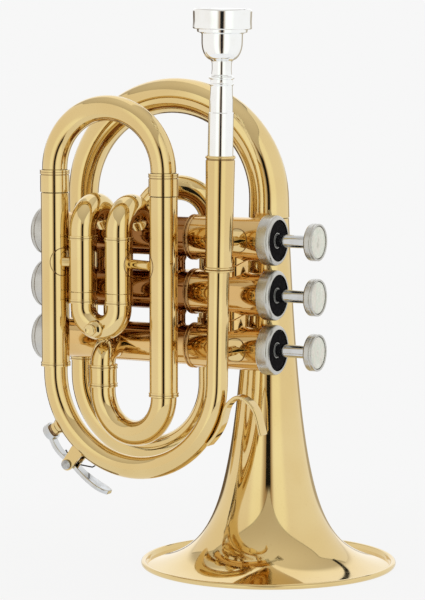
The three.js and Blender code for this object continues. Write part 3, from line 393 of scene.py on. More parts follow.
def paint_valve_brass_and_shade(finish, place):
    """The valve block's brass: a redder alloy, with painted shade that darkens it where the casings lie
    behind the slides.
    """
    drift = finish.spread(finish.noise(place, 40, 2), 0.35, 0.65)
    haze = finish.noise(place, 160, 4, 0.6)
    along = finish.vector("DOT_PRODUCT", place, RIGHT, output="Value")
    height = finish.vector("DOT_PRODUCT", place, UP, output="Value")
    start, end = at(RECESS_START, 0, 0).x, at(RECESS_END, 0, 0).x
    # Painted shade: the mask of the casings behind the slides
    shade_behind_slides = finish.spread(along, start, start + RECESS_SOFT * MM) * finish.spread(
        height, RECESS_BOTTOM * MM, (RECESS_BOTTOM + RECESS_SOFT) * MM) * (
        1.0 - finish.spread(along, end, end + RECESS_SOFT * MM))
    open_brass = finish.blend(drift, tone(0.745, 0.515, 0.220), tone(0.700, 0.460, 0.185))
    # The dark brown of the painted shade behind the slides
    shaded_brass = finish.blend(drift, tone(0.320, 0.145, 0.040), tone(0.270, 0.110, 0.028))
    return (
        finish.grimed_and_shaded(finish.blend(shade_behind_slides, open_brass, shaded_brass)),
        finish.spread(haze, 0.3, 0.75, 0.05, 0.11),
        finish.relief(finish.noise(place, 55, 2), 0.02),
    )


def patchy(patches, edges, tones, roughness, bump):
    """A plain finish, which drifts from one tone and roughness to another in patches.

    Patches and bump are noises, each a scale and a detail, and bump ends with its depth in millimetres.
    """
    def paint(finish, place):
        share = finish.spread(finish.noise(place, *patches), *edges)
        *waves, depth = bump
        return (
            finish.blend(share, *tones),
            finish.spread(share, 0, 1, *roughness),
            finish.relief(finish.noise(place, *waves), depth),
        )
    return paint


def paint_silver(finish, place):
    """Silver plate: nearly white, with a cloudy warmth where tarnish starts."""
    drift = finish.spread(finish.noise(place, 60, 3), 0.45, 0.75)
    return (
        finish.blend(drift, tone(0.93, 0.945, 0.95), tone(0.88, 0.88, 0.86)),
        finish.spread(finish.noise(place, 220, 4), 0.3, 0.7, 0.05, 0.11),
        finish.relief(finish.noise(place, 90, 2), 0.01),
    )


def paint_nickel(finish, place):
    """Satin nickel: turning lines across the axis of the valves and a greyer bloom."""
    lines = finish.noise(finish.scaled(place, (2600.0, 120.0, 120.0)), 1, 2)
    bloom = finish.spread(finish.noise(place, 130, 4), 0.35, 0.7)
    return (
        finish.grimed_and_shaded(finish.blend(bloom, tone(0.60, 0.595, 0.57), tone(0.55, 0.54, 0.505))),
        finish.spread(lines, 0.3, 0.7, 0.25, 0.33) + bloom * 0.04,
        finish.relief(lines, 0.004),
    )


def paint_monel(finish, place):
    """Honed valve metal: fine crossing lines."""
    lines = finish.noise(finish.scaled(place, (400.0, 3000.0, 3000.0)), 1, 2)
    return (
        finish.blend(lines, tone(0.66, 0.64, 0.60), tone(0.54, 0.52, 0.49)),
        finish.spread(lines, 0.3, 0.7, 0.22, 0.36),
        finish.relief(lines, 0.01),
    )


def paint_pearl(finish, place):
    """Mother of pearl: milky layers with a faint rose and green play."""
    layers = finish.noise(finish.scaled(place, (60.0, 260.0, 170.0)), 1, 5, 0.65)
    play = finish.noise(place, 190, 3)
    milk = finish.node("ShaderNodeValToRGB", {"stops": (
        (0.32, tone(0.50, 0.50, 0.42)),
        (0.44, tone(0.78, 0.73, 0.66)),
        (0.54, tone(0.62, 0.68, 0.58)),
        (0.66, tone(0.86, 0.84, 0.78)),
    )}, {"Fac": layers})
    return (
        finish.blend(play * 0.35, milk, tone(0.86, 0.84, 0.78)),
        finish.spread(layers, 0.3, 0.7, 0.14, 0.28),
        finish.relief(layers, 0.015),
    )


def paint_felt(finish, place):
    """Pressed black felt: short fibres and worn, paler tufts."""
    fibres = finish.noise(place, 1600, 5, 0.7)
    tufts = finish.spread(finish.noise(place, 420, 3), 0.5, 0.75)
    return (
        finish.blend(tufts * 0.5, tone(0.006, 0.005, 0.006), tone(0.03, 0.028, 0.032)),
        finish.spread(fibres, 0.2, 0.8, 0.82, 1.0),
        finish.relief(fibres, 0.18),
    )


def paint_cork(finish, place):
    """Cut cork: mottled grains with dark pores."""
    grains = finish.node("ShaderNodeTexVoronoi", {"feature": "F1"}, {"Vector": place, "Scale": 1100.0})
    pores = finish.spread(finish.noise(place, 900, 4), 0.56, 0.68)
    colour = finish.blend(grains, tone(0.42, 0.25, 0.12), tone(0.56, 0.36, 0.19))
    return (
        finish.blend(pores, colour, tone(0.16, 0.08, 0.04)),
        finish.spread(grains, 0, 1, 0.75, 0.95),
        finish.relief(grains, 0.12),
    )


METAL = {"Metallic": 1.0}
LACQUER = {**METAL, "Coat Weight": 0.22, "Coat Roughness": 0.04}
BRASS = material("lacquered_brass", LACQUER, paint_brass)
# The valve brass carries painted shade behind the slides
VALVE_BRASS = material("lacquered_brass", LACQUER, paint_valve_brass_and_shade)
SILVER = material("silver_plate", METAL, paint_silver)
NICKEL = material("nickel_plate", METAL, paint_nickel)
# Small parts, rubbed brighter where they are touched
BRIGHT_NICKEL = material("nickel_plate", METAL, patchy(
    (150, 3), (0.35, 0.7), (tone(0.66, 0.68, 0.70), tone(0.58, 0.59, 0.59)), (0.08, 0.16), (320, 3, 0.015)))
MONEL = material("monel", METAL, paint_monel)
# Bright steel with a darker, oiled tone
STEEL = material("steel", METAL, patchy(
    (300, 4), (0.4, 0.65), (tone(0.52, 0.52, 0.51), tone(0.34, 0.33, 0.32)), (0.2, 0.38), (700, 3, 0.02)))
# Blackened spring wire, rubbed here and there
WIRE_STEEL = material("steel", METAL, patchy(
    (500, 3), (0.5, 0.7), (tone(0.035, 0.033, 0.035), tone(0.12, 0.11, 0.10)), (0.25, 0.4), (900, 3, 0.01)))
PEARL = material("pearl", {"Coat Weight": 0.45, "Coat Roughness": 0.06}, paint_pearl)
FELT = material("black_felt", {"Specular IOR Level": 0.1}, paint_felt)
CORK = material("cork", {"Specular IOR Level": 0.2}, paint_cork)


# Making pieces
def picked(geom, kind):
    """The vertices or edges among what an operator made."""
    return [item for item in geom if isinstance(item, kind)]


def edges_at(verts):
    return list({edge for vert in verts for edge in vert.link_edges})


def mesh_data(name, mesh):
    """Turns a bmesh into mesh data."""
    data = bpy.data.meshes.new(name)
    mesh.to_mesh(data)
    mesh.free()
    return data


def placed(name, data):
    thing = bpy.data.objects.new(name, data)
    bpy.context.scene.collection.objects.link(thing)
    return thing


def piece(name, mesh, finish, body, *nodes):
    """Turns a bmesh into a finished object that rides on a body and stands for the CAD nodes named."""
    slot, made = finish
    data = mesh_data(name, mesh)
    data.shade_smooth()
    data.set_sharp_from_angle(angle=SHARP)
    data.materials.append(made)
    thing = placed(name, data)
    flatter = thing.modifiers.new("even_shading", "WEIGHTED_NORMAL")
    flatter.mode = "FACE_AREA"
    flatter.weight = 100
    flatter.keep_sharp = True
    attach(thing, body)
    if nodes:
        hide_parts(*nodes)
    return thing


def faced_out(mesh):
    bmesh.ops.recalc_face_normals(mesh, faces=mesh.faces)
    return mesh


def closed(mesh):
    bmesh.ops.remove_doubles(mesh, verts=mesh.verts, dist=MM / 1000)
    return faced_out(mesh)


def eased(mesh, width=EASED_EDGE, segments=2, above=SHARP):
    """Rounds the edges that turn more than an angle."""
    edges = [edge for edge in mesh.edges if len(edge.link_faces) == 2 and edge.calc_face_angle() > above]
    bmesh.ops.bevel(mesh, geom=edges, offset=width * MM, offset_type="OFFSET", segments=segments,
                    profile=0.5, affect="EDGES", clamp_overlap=True, material=-1)
    return mesh


def arc(radius, height, size, start, end, steps=6, rise=None):
    """Corners of a round stretch of an outline, between two angles in degrees; an oval's has its rise too."""
    turns = [math.radians(start + (end - start) * step / steps) for step in range(steps + 1)]
    return [(radius + size * math.cos(turn), height + (rise or size) * math.sin(turn)) for turn in turns]


def spun(outline, place, sides=TURNED_SIDES, ease=EASED_EDGE):
    """A turned piece: corners spun about +Z of its place.

    A corner is its radius and height, and the grime and painted shade that lie there if there are any. An
    outline that starts off the axis closes on itself.
    """
    mesh = bmesh.new()
    grime = mesh.verts.layers.float.new(GRIME_AND_SHADE)
    corners = [mesh.verts.new((radius * MM, 0, height * MM)) for radius, height, *_ in outline]
    for vert, (_, _, *grimed_and_shaded) in zip(corners, outline):
        vert[grime] = sum(grimed_and_shaded)
    following = corners[1:] + (corners[:1] if outline[0][0] > 0 else [])
    edges = [mesh.edges.new(pair) for pair in zip(corners, following)]
    bmesh.ops.spin(mesh, geom=corners + edges, cent=(0, 0, 0), axis=UP, dvec=(0, 0, 0),
                   angle=2 * math.pi, steps=sides, use_merge=True, use_duplicate=False)
    closed(mesh)
    if ease:
        eased(mesh, ease)
    bmesh.ops.transform(mesh, matrix=place, verts=mesh.verts)
    return mesh


def press(verts, heading, centre, axis, radius):
    """Slides corners along a heading until they lie on a cylinder about an axis."""
    across = heading - axis * heading.dot(axis)
    for vert in verts:
        out = vert.co - centre
        out -= axis * out.dot(axis)
        lead = out.dot(across)
        room = lead ** 2 - across.length_squared * (out.length_squared - radius ** 2)
        vert.co += heading * (-lead - math.sqrt(max(room, 0))) / across.length_squared


class Tube:
    """A drawn tube: a ring of edges pushed along straights and spun round bends, open at both mouths."""

    def __init__(self, start, heading, radius, bore=None, depth=MOUTH_DEPTH, sides=TUBE_SIDES):
        self.mesh = bmesh.new()
        self.grime = self.mesh.verts.layers.float.new(GRIME_AND_SHADE)
        self.here = at(*start)
        self.heading = heading.normalized()
        self.radius = radius
        self.bore = bore or radius - WALL
        deep = self.here + self.heading * depth * MM
        made = bmesh.ops.create_circle(self.mesh, cap_ends=True, segments=sides, radius=self.bore * MM,
                                       matrix=facing(deep, self.heading))
        self.ring = edges_at(made["verts"])
        self.grow()
        self.push(self.here - deep)
        self.mouth = self.corners()
        self.grow()
        self.swell(self.bore, radius)
        self.mouth += self.corners()

    def corners(self):
        return list({vert for edge in self.ring for vert in edge.verts})

    def push(self, way):
        bmesh.ops.translate(self.mesh, vec=way, verts=self.corners())

    def grow(self):
        """Starts a new ring from the last one, joined to it by faces."""
        made = bmesh.ops.extrude_edge_only(self.mesh, edges=self.ring)["geom"]
        verts = set(picked(made, VERT))
        self.ring = [edge for edge in picked(made, EDGE) if verts.issuperset(edge.verts)]

    def swell(self, before, after):
        """Scales the ring across its heading, from one radius to another."""
        place = facing(self.here, self.heading)
        share = after / before
        bmesh.ops.scale(self.mesh, vec=(share, share, 1), space=place.inverted(), verts=self.corners())

    def step(self, radius, grime=0.0):
        """A sudden change of radius, with the grime and painted shade that darken its foot."""
        self.grow()
        self.swell(self.radius, radius)
        self.radius = radius
        for vert in self.corners():
            vert[self.grime] = grime
        return self

    def straight(self, length, radius=None):
        self.grow()
        self.push(self.heading * length * MM)
        self.here = self.here + self.heading * length * MM
        if radius:
            self.swell(self.radius, radius)
            self.radius = radius
        return self

    def line(self):
        """A fine groove, such as the seam under a ferrule."""
        before = self.radius
        # The groove's corners are darkened with grime and painted shade
        return self.step(before - LINE_DEPTH, 1.0).straight(LINE_WIDTH).step(before)

    def band(self, length, radius):
        """A raised band with a groove round its middle and a seam under it."""
        before = self.radius
        side = (length - RING_GROOVE) / 2
        self.step(radius).straight(side).step((radius + before) / 2, RING_GRIME_AND_SHADE).straight(RING_GROOVE)
        return self.step(radius).straight(side).step(before)

    def bend(self, radius, angle, axis, end=None):
        """A bend about an axis, narrowing evenly to the radius given for its end."""
        steps = math.ceil(angle / BEND_STEP)
        centre = self.here + axis.cross(self.heading).normalized() * radius * MM
        turn = Matrix.Rotation(angle / steps, 3, axis)
        first = self.radius
        for step in range(1, steps + 1):
            made = bmesh.ops.spin(self.mesh, geom=self.ring + self.corners(), cent=centre, axis=axis,
                                  dvec=(0, 0, 0), angle=angle / steps, steps=1, use_duplicate=False)
            self.ring = picked(made["geom_last"], EDGE)
            self.here = centre + turn @ (self.here - centre)
            self.heading = turn @ self.heading
            if end:
                after = first + (end - first) * step / steps
                self.swell(self.radius, after)
                self.radius = after
        return self

    def done(self, seat=None, depth=MOUTH_DEPTH):
        """Closes the far mouth, fitted to a round body where one is given as (centre, axis, radius)."""
        self.grow()
        if seat:
            press(self.corners(), self.heading, *seat)
        self.grow()
        rim = self.corners()
        self.swell(self.radius, self.radius - WALL)
        if seat:
            press(rim, self.heading, *seat)
        self.grow()
        self.push(-self.heading * depth * MM)
        bmesh.ops.edgeloop_fill(self.mesh, edges=self.ring)
        return eased(closed(self.mesh))


def casing_seat(number):
    """Where a tube meets a casing: a round body just under the casing's skin."""
    return at(0, 0, valve_z(number)), RIGHT, (CASING_RADIUS - SEAT_DEPTH) * MM


def merged(first, *others):
    """Several closed shells as one piece."""
    for other in others:
        data = mesh_data("part", other)
        first.from_mesh(data)
        bpy.data.meshes.remove(data)
    return first


def strap(line, width, thickness, ease):
    """A flat strip along a line in an upright plane, its width across the instrument."""
    mesh = bmesh.new()
    corners = [mesh.verts.new(place + FRONT * width * MM / 2) for place in line]
    edges = [mesh.edges.new(pair) for pair in zip(corners, corners[1:])]
    made = bmesh.ops.extrude_edge_only(mesh, edges=edges)["geom"]
    bmesh.ops.translate(mesh, vec=BACK * width * MM, verts=picked(made, VERT))
    bmesh.ops.solidify(faced_out(mesh), geom=mesh.faces[:], thickness=thickness * MM)
    return eased(faced_out(mesh), ease, 3, BLUNT)


def smooth_line(places, steps):
    """A smooth line through places, with equal steps between neighbours."""
    ends = [2 * places[0] - places[1], *places, 2 * places[-1] - places[-2]]
    line = []
    for before, start, end, after in zip(ends, ends[1:], ends[2:], ends[3:]):
        for step in range(steps):
            share = step / steps
            line.append(0.5 * (2 * start + (end - before) * share
                               + (2 * before - 5 * start + 4 * end - after) * share ** 2
                               + (3 * start - before - 3 * end + after) * share ** 3))
    return [*line, places[-1]]


# Valve block
def dress_valve(number):
    place = facing(at(0, 0, valve_z(number)), RIGHT)
    dress_casing(number, place)
    dress_bottom_cap(number, place)
    dress_top_cap(number, place)
    dress_button(number, place)


def dress_casing(number, place):
    bead = CASING_BEAD / 2
    ring = CASING_RING_RADIUS - bead
    first, second = CASING_STEP, CASING_STEP + CASING_RING_PITCH
    # Corners with a third number are darkened with grime and painted shade
    casing = spun([
        (CASING_BORE, CASING_START), (CASING_RADIUS, CASING_START), (CASING_RADIUS, first - CASING_SEAM),
        (CASING_RADIUS, first, 1), *arc(ring, first + bead, bead, -90, 90),
        (CASING_TOP_RADIUS, first + CASING_BEAD, 1), (CASING_TOP_RADIUS, second, 1),
        *arc(ring, second + bead, bead, -90, 90), (CASING_TOP_RADIUS, second + CASING_BEAD, 1),
        (CASING_TOP_RADIUS, second + CASING_BEAD + CASING_SEAM), (CASING_TOP_RADIUS, CASING_END),
        (CASING_BORE, CASING_END),
    ], place)
    piece(f"casing_{number}", casing, VALVE_BRASS, "instrument", f"valve_casing_{number}")


def dress_bottom_cap(number, place):
    nose = BOTTOM_CAP_START
    lip = BOTTOM_CAP_LIP
    groove = nose + 3 * lip
    inner = CASING_RADIUS + GAP
    cap = spun([
        (VENT_RADIUS, nose), (BOTTOM_CAP_NOSE, nose), (BOTTOM_CAP_NOSE + GROOVE, nose + GROOVE),
        (BOTTOM_CAP_RADIUS - lip, nose + lip), (BOTTOM_CAP_RADIUS, nose + 2 * lip),
        (BOTTOM_CAP_RADIUS, groove), (BOTTOM_CAP_RADIUS - GROOVE, groove + GROOVE, 1),
        (BOTTOM_CAP_RADIUS, groove + 2 * GROOVE), (BOTTOM_CAP_RADIUS, BOTTOM_CAP_END),
        (inner, BOTTOM_CAP_END), (inner, nose + BOTTOM_CAP_FLOOR), (VENT_RADIUS, nose + BOTTOM_CAP_FLOOR),
    ], place, ease=CAP_EASE)
    piece(f"bottom_cap_{number}_turned", cap, NICKEL, "instrument", f"bottom_cap_{number}")


def dress_top_cap(number, place):
    """The cap with its round shoulder and the collar for the stem, and the felt in its recess."""
    inner = CASING_TOP_RADIUS + GAP
    start = TOP_CAP_FACE - TOP_CAP_LENGTH
    felt_top = TOP_CAP_FACE - FELT_DEPTH
    floor = felt_top - FELT_THICKNESS - GAP
    chamfer = TOP_CAP_CHAMFER
    shoulder = TOP_CAP_RADIUS - TOP_CAP_RECESS - TOP_CAP_LIP
    hole, collar = STEM_RADIUS + GAP, STEM_RADIUS + GAP + TOP_CAP_COLLAR
    collar_top = felt_top - TOP_CAP_COLLAR_DROP
    cap = spun([
        (inner, start), (TOP_CAP_RADIUS - chamfer, start),
        *arc(TOP_CAP_RADIUS - chamfer, start + chamfer, chamfer, -70, 0, 4),
        *arc(TOP_CAP_RADIUS - shoulder, TOP_CAP_FACE - shoulder, shoulder, 0, 90, 8),
        (TOP_CAP_RECESS, TOP_CAP_FACE), (TOP_CAP_RECESS, floor), (collar, floor), (collar, collar_top),
        (hole, collar_top), (hole, floor - TOP_CAP_FLOOR), (inner, floor - TOP_CAP_FLOOR),
    ], place, ease=CAP_EASE)
    piece(f"top_cap_{number}_turned", cap, NICKEL, "instrument", f"top_cap_{number}")

    felt = spun([
        (collar + GAP, floor + GAP), (TOP_CAP_RECESS - GAP, floor + GAP),
        (TOP_CAP_RECESS - GAP, felt_top), (collar + GAP, felt_top),
    ], place, ease=FELT_EASE)
    piece(f"felt_{number}", felt, FELT, "instrument", f"top_felt_{number}")


def dress_button(number, place):
    """The stem, the finger button and its crowned pearl."""
    body = f"valve_{number}"
    stem = spun([
        (0, PISTON_END + GAP), (STEM_RADIUS, PISTON_END + GAP),
        (STEM_RADIUS, BUTTON_BACK - GAP), (0, BUTTON_BACK - GAP),
    ], place, ease=STEM_EASE)
    piece(f"stem_{number}", stem, BRIGHT_NICKEL, body, f"valve_stem_{number}")

    face = BUTTON_BACK + BUTTON_LENGTH
    edge = BUTTON_LENGTH / 4
    groove = face - 1.5 * edge
    rim = BUTTON_RIM / 2
    well = BUTTON_RADIUS - BUTTON_RIM
    pearl_back = face - PEARL_THICKNESS
    button = spun([
        (0, BUTTON_BACK), (BUTTON_RADIUS - 2 * edge, BUTTON_BACK),
        *arc(BUTTON_RADIUS - edge, BUTTON_BACK + edge, edge, -75, 0),
        (BUTTON_RADIUS, groove), (BUTTON_RADIUS - GROOVE, groove + GROOVE),
        (BUTTON_RADIUS, groove + 2 * GROOVE),
        *arc(BUTTON_RADIUS - rim, face - rim, rim, 0, 180),
        (well, pearl_back - GAP), (0, pearl_back - GAP),
    ], place, ease=BUTTON_EASE)
    piece(f"button_{number}", button, NICKEL, body, f"finger_button_{number}")

    radius = well - GAP
    sphere = (radius ** 2 + PEARL_CROWN ** 2) / (2 * PEARL_CROWN)
    crown = [radius * step / PEARL_STEPS for step in range(PEARL_STEPS - 1, -1, -1)]
    pearl = spun([
        (0, pearl_back), (radius, pearl_back), (radius, face - PEARL_CROWN),
        *[(reach, face - sphere + math.sqrt(sphere ** 2 - reach ** 2)) for reach in crown],
    ], place)
    piece(f"pearl_{number}", pearl, PEARL, body, f"button_pearl_{number}")


def dress_spring(number):
    """A wound spring between its seat and the piston's top."""
    mesh = bmesh.new()
    seat = SPRING_SEAT + SPRING_WIRE
    steps = SPRING_TURNS * SPRING_STEPS
    rise = (SPRING_TOP - SPRING_WIRE - seat) / steps
    verts = bmesh.ops.create_circle(mesh, segments=WIRE_SIDES, radius=SPRING_WIRE * MM, matrix=facing(
        (SPRING_RADIUS * MM, 0, seat * MM), BACK))["verts"]
    start = edges_at(verts)
    end = bmesh.ops.spin(mesh, geom=verts + start, cent=(0, 0, 0), axis=UP, dvec=UP * rise * MM,
                         angle=2 * math.pi * SPRING_TURNS, steps=steps, use_duplicate=False)["geom_last"]
    bmesh.ops.edgeloop_fill(mesh, edges=start)
    bmesh.ops.edgeloop_fill(mesh, edges=picked(end, EDGE))
    closed(mesh)
    bmesh.ops.transform(mesh, matrix=facing(at(0, 0, valve_z(number)), RIGHT), verts=mesh.verts)
    spring = piece(f"spring_{number}_wound", mesh, STEEL, "instrument", f"valve_spring_{number}")
    at(SPRING_SEAT, 0, valve_z(number))
    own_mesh(spring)


def tie(name, upper, x, radius, flare, flare_length, *nodes):
    """A tube between two neighbouring casings, flared where it is soldered to them."""
    tube = Tube((x, 0, valve_z(upper + 1) + CASING_RADIUS), UP, radius + flare)
    press(tube.mouth, DOWN, *casing_seat(upper + 1))
    tube.straight(flare_length, radius)
    tube.straight(VALVE_PITCH - 2 * (CASING_RADIUS + flare_length))
    tube.straight(flare_length, radius + flare)
    piece(name, tube.done(casing_seat(upper)), VALVE_BRASS, "instrument", *nodes)


def dress_transfer(upper):
    tie(f"transfer_{upper}", upper, TRANSFER_X, TRANSFER_RADIUS, TRANSFER_FLARE, TRANSFER_FLARE_LENGTH,
        f"transfer_tube_{upper}")


def dress_bridge(upper, end, x):
    """A plain post that ties two casings together beside the ports."""
    tie(f"{end}_bridge_{upper}", upper, x, BRIDGE_RADIUS, BRIDGE_FLARE, BRIDGE_FLARE)


# Front run
BOW_CENTRE = (LEFT_SLEEVE_X + LEAD_BOW, FRONT_Y, LEFT_SLEEVE_Z - GAP - LEAD_DROP)


def on_bow(angle, reach, y=0.0):
    """A place by the leadpipe's bow: angle from +X, reach from the tube's centre line, y from its plane."""
    radius = LEAD_BOW + reach
    x, plane, z = BOW_CENTRE
    return at(x + radius * math.cos(angle), plane + y, z + radius * math.sin(angle))


def bow_heading(angle):
    """Straight out from the bow at an angle."""
    return Vector((math.cos(angle), 0, math.sin(angle)))


def nipple_place():
    return facing(on_bow(NIPPLE_ANGLE, 0), bow_heading(NIPPLE_ANGLE))


def pivot_place():
    return facing(on_bow(PIVOT_ANGLE, PIVOT_REACH), BACK)


def leadpipe():
    """The pipe with its bow, nipple and saddle. Returns the bow's end, where the receiver's line starts."""
    tube = Tube((LEFT_SLEEVE_X, FRONT_Y, LEFT_SLEEVE_Z + INSERT), DOWN, LEAD_BOW_TUBE)
    tube.straight(INSERT + GAP + LEAD_DROP).bend(LEAD_BOW, math.pi - LEAD_LEAN, FRONT, LEAD_RADIUS)
    base = tube.here.copy()
    tube.straight(LEAD_TOP)
    foot = LEAD_BOW_TUBE - NIPPLE_SUNK
    nipple = spun([
        (NIPPLE_RADIUS + NIPPLE_FLARE, foot), (NIPPLE_RADIUS + NIPPLE_WAIST, LEAD_BOW_TUBE + NIPPLE_WAIST),
        (NIPPLE_RADIUS, LEAD_BOW_TUBE + NIPPLE_FLARE), (NIPPLE_RADIUS, NIPPLE_REACH),
        (NIPPLE_HOLE, NIPPLE_REACH), (NIPPLE_HOLE, foot),
    ], nipple_place())
    piece("leadpipe_drawn", merged(tube.done(), nipple, *saddle_ears()), BRASS, "instrument", "leadpipe")
    return base


def saddle_ears():
    """The water key's saddle: two ears with round tips, which broaden to their feet on the bow."""
    out = bow_heading(PIVOT_ANGLE)
    upright = Matrix((
        (out.x, -out.z, 0, 0), (0, 0, 1, 0), (out.z, out.x, 0, 0), (0, 0, 0, 1),
    ))
    ear_y = LEVER_WIDTH / 2 + GAP + EAR_THICKNESS / 2
    ears = []
    for side in (-1, 1):
        mesh = bmesh.new()
        made = bmesh.ops.create_circle(mesh, segments=SMALL_SIDES, radius=EAR_RADIUS * MM, cap_ends=True)
        foot = [vert for vert in made["verts"] if vert.co.x < -EAR_RADIUS * MM / 3]
        bmesh.ops.translate(mesh, vec=(-(PIVOT_REACH - LEAD_BOW_TUBE) * MM, 0, 0), verts=foot)
        bmesh.ops.scale(mesh, vec=(1, EAR_WIDTH / 2 / EAR_RADIUS, 1), verts=foot)
        grown = bmesh.ops.extrude_face_region(mesh, geom=mesh.faces[:])["geom"]
        bmesh.ops.translate(mesh, vec=(0, 0, EAR_THICKNESS * MM), verts=picked(grown, VERT))
        eased(faced_out(mesh), EAR_EASE)
        corner = on_bow(PIVOT_ANGLE, PIVOT_REACH, side * ear_y - EAR_THICKNESS / 2)
        bmesh.ops.transform(mesh, matrix=Matrix.Translation(corner) @ upright, verts=mesh.verts)
        ears.append(faced_out(mesh))
    return ears


def dress_sleeve(node, x, bottom):
    tube = Tube((x, FRONT_Y, bottom), UP, SLEEVE_RADIUS, SLEEVE_BORE, INSERT + ROOM)
    tube.band(RING_WIDTH, RING_RADIUS)
    tube.straight(SLEEVE_TOP - bottom - FERRULE_LENGTH - RING_WIDTH - LINE_WIDTH).line()
    tube.step(SLEEVE_RADIUS + GAP).straight(FERRULE_LENGTH - RING_WIDTH - LINE_WIDTH).line()
    tube.band(RING_WIDTH, RING_RADIUS)
    piece(f"{node}_drawn", tube.done(depth=TUNING_LEG + ROOM), BRASS, "instrument", node)


def dress_tuning_slide():
    radius = (RIGHT_SLEEVE_X - LEFT_SLEEVE_X) / 2
    tube = Tube((LEFT_SLEEVE_X, FRONT_Y, SLEEVE_TOP - GAP - TUNING_LEG), UP, SLIDE_LEG)
    tube.straight(TUNING_LEG + 2 * GAP).step(BOW_TUBE).bend(radius, math.pi, BACK)
    tube.step(SLIDE_LEG).straight(TUNING_LEG + 2 * GAP)
    piece("tuning_slide_drawn", tube.done(), BRASS, "main_tuning_slide", "tuning_slide")


def dress_inlet():
    across = Vector((math.sin(INLET_TURN), math.cos(INLET_TURN), 0))
    tube = Tube((RIGHT_SLEEVE_X, FRONT_Y, RIGHT_SLEEVE_Z + INSERT), DOWN, LEAD_BOW_TUBE)
    tube.straight(INSERT + GAP).step(INLET_TUBE).bend(INLET_BOW, math.pi, across)
    tube.straight(INLET_FERRULE_START).step(SLEEVE_RADIUS).band(RING_WIDTH, RING_RADIUS)
    tube.straight(INLET_FERRULE - 2 * RING_WIDTH).band(RING_WIDTH, RING_RADIUS).step(INLET_TUBE)
    tube.bend(INLET_ELBOW, math.pi / 2, LEFT)
    reach = -(tube.here.y / MM + ZERO_Y) - CASING_RADIUS
    tube.straight(max(reach, GAP))
    piece("inlet_bow_drawn", tube.done(casing_seat(3)), BRASS, "instrument", "inlet_bow")


def dress_first_loop():
    for number, x in enumerate((FIRST_X, FIRST_X + FIRST_PITCH), 1):
        tube = Tube((x, FRONT_Y, FIRST_SLEEVE_Z), UP, SLEEVE_RADIUS, SLEEVE_BORE, FIRST_LEG + ROOM)
        tube.straight(FIRST_SLEEVE - RING_WIDTH).band(RING_WIDTH, RING_RADIUS)
        tube.step(ELBOW_TUBE).straight(FIRST_ELBOW_RISE).bend(FIRST_ELBOW, FIRST_ELBOW_TURN, LEFT)
        reach = math.hypot(tube.here.y / MM + ZERO_Y, tube.here.z / MM - TOP_VALVE_Z) - CASING_RADIUS
        tube.straight(max(reach, GAP))
        sleeve = tube.done(casing_seat(1))
        piece(f"first_sleeve_{number}", sleeve, BRASS, "instrument", f"first_slide_sleeve_{number}")

    top = FIRST_SLEEVE_Z - GAP
    tube = Tube((FIRST_X, FRONT_Y, top + FIRST_LEG), DOWN, SLIDE_LEG)
    side = FIRST_FERRULE - RING_WIDTH
    ring = SLEEVE_RADIUS + GAP
    tube.straight(FIRST_LEG).step(SLEEVE_RADIUS).straight(side).band(RING_WIDTH, ring).step(BOW_TUBE)
    tube.straight(FIRST_STRAIGHT).bend(FIRST_PITCH / 2, math.pi, FRONT).straight(FIRST_STRAIGHT)
    tube.step(SLEEVE_RADIUS).band(RING_WIDTH, ring).straight(side).step(SLIDE_LEG).straight(FIRST_LEG)
    bow_z = top - FIRST_FERRULE - FIRST_STRAIGHT - FIRST_PITCH / 2
    knob = pull_knob(facing(at(FIRST_X + FIRST_PITCH / 2, FRONT_Y, bow_z), FRONT))
    piece("first_slide_drawn", merged(tube.done(), knob), BRASS, "first_valve_slide", "first_slide")


def pull_knob(place):
    """A turned knob on a round foot: heights count from the bow's centre line."""
    skin, tip = BOW_TUBE, BOW_TUBE + KNOB_REACH
    return spun([
        (0, skin - KNOB_SUNK), (KNOB_FOOT, skin - KNOB_SUNK), (KNOB_FOOT, skin + 0.7), (3.4, skin + 1.6),
        (2.2, skin + 2.1), (1.9, skin + 3.1), *arc(2.1, tip - 0.9, 0.8, -60, 80),
        (1.9, tip), (1.5, tip - 0.3), (0.5, tip - 0.4), (0, tip - 0.7),
    ], place)


def lead_axis():
    return Vector((math.sin(LEAD_LEAN), 0, math.cos(LEAD_LEAN)))


def dress_receiver(base):
    """The receiver's two beads with the groove between them, its taper and the bead at its mouth.

    The heights near an end go by shares of half a bead's width.
    """
    place = facing(base, lead_axis())
    top = RECEIVER_BOTTOM + RECEIVER_LENGTH
    bead = RECEIVER_BEAD / 2
    ring, mouth = RECEIVER_RING_RADIUS - bead / 2, RECEIVER_BEAD_RADIUS - bead / 2
    receiver = spun([
        (LEAD_RADIUS + GAP, RECEIVER_BOTTOM), *arc(ring, RECEIVER_BOTTOM + bead / 2, bead / 2, -90, 90),
        (RECEIVER_RADIUS - LINE_DEPTH, RECEIVER_BOTTOM + 1.1 * bead, 1),
        *arc(ring, RECEIVER_BOTTOM + 1.7 * bead, bead / 2, -90, 90),
        (RECEIVER_RADIUS, RECEIVER_BOTTOM + 2.3 * bead),
        (RECEIVER_TOP_RADIUS, top - 1.9 * bead), (RECEIVER_TOP_RADIUS - LINE_DEPTH, top - 1.8 * bead, 1),
        (RECEIVER_TOP_RADIUS - LINE_DEPTH, top - 1.2 * bead, 1), (RECEIVER_TOP_RADIUS, top - 1.1 * bead),
        *arc(mouth, top - bead / 2 - 0.2, bead / 2, -90, 60), (RECEIVER_TOP_RADIUS, top),
        (SHANK_RADIUS + GAP, top), (SHANK_TIP + GAP, top - MOUTHPIECE_INSERT - GAP),
        (LEAD_RADIUS + GAP, LEAD_TOP + GAP),
    ], place)
    piece("receiver_turned", receiver, BRASS, "instrument", "mouthpiece_receiver")


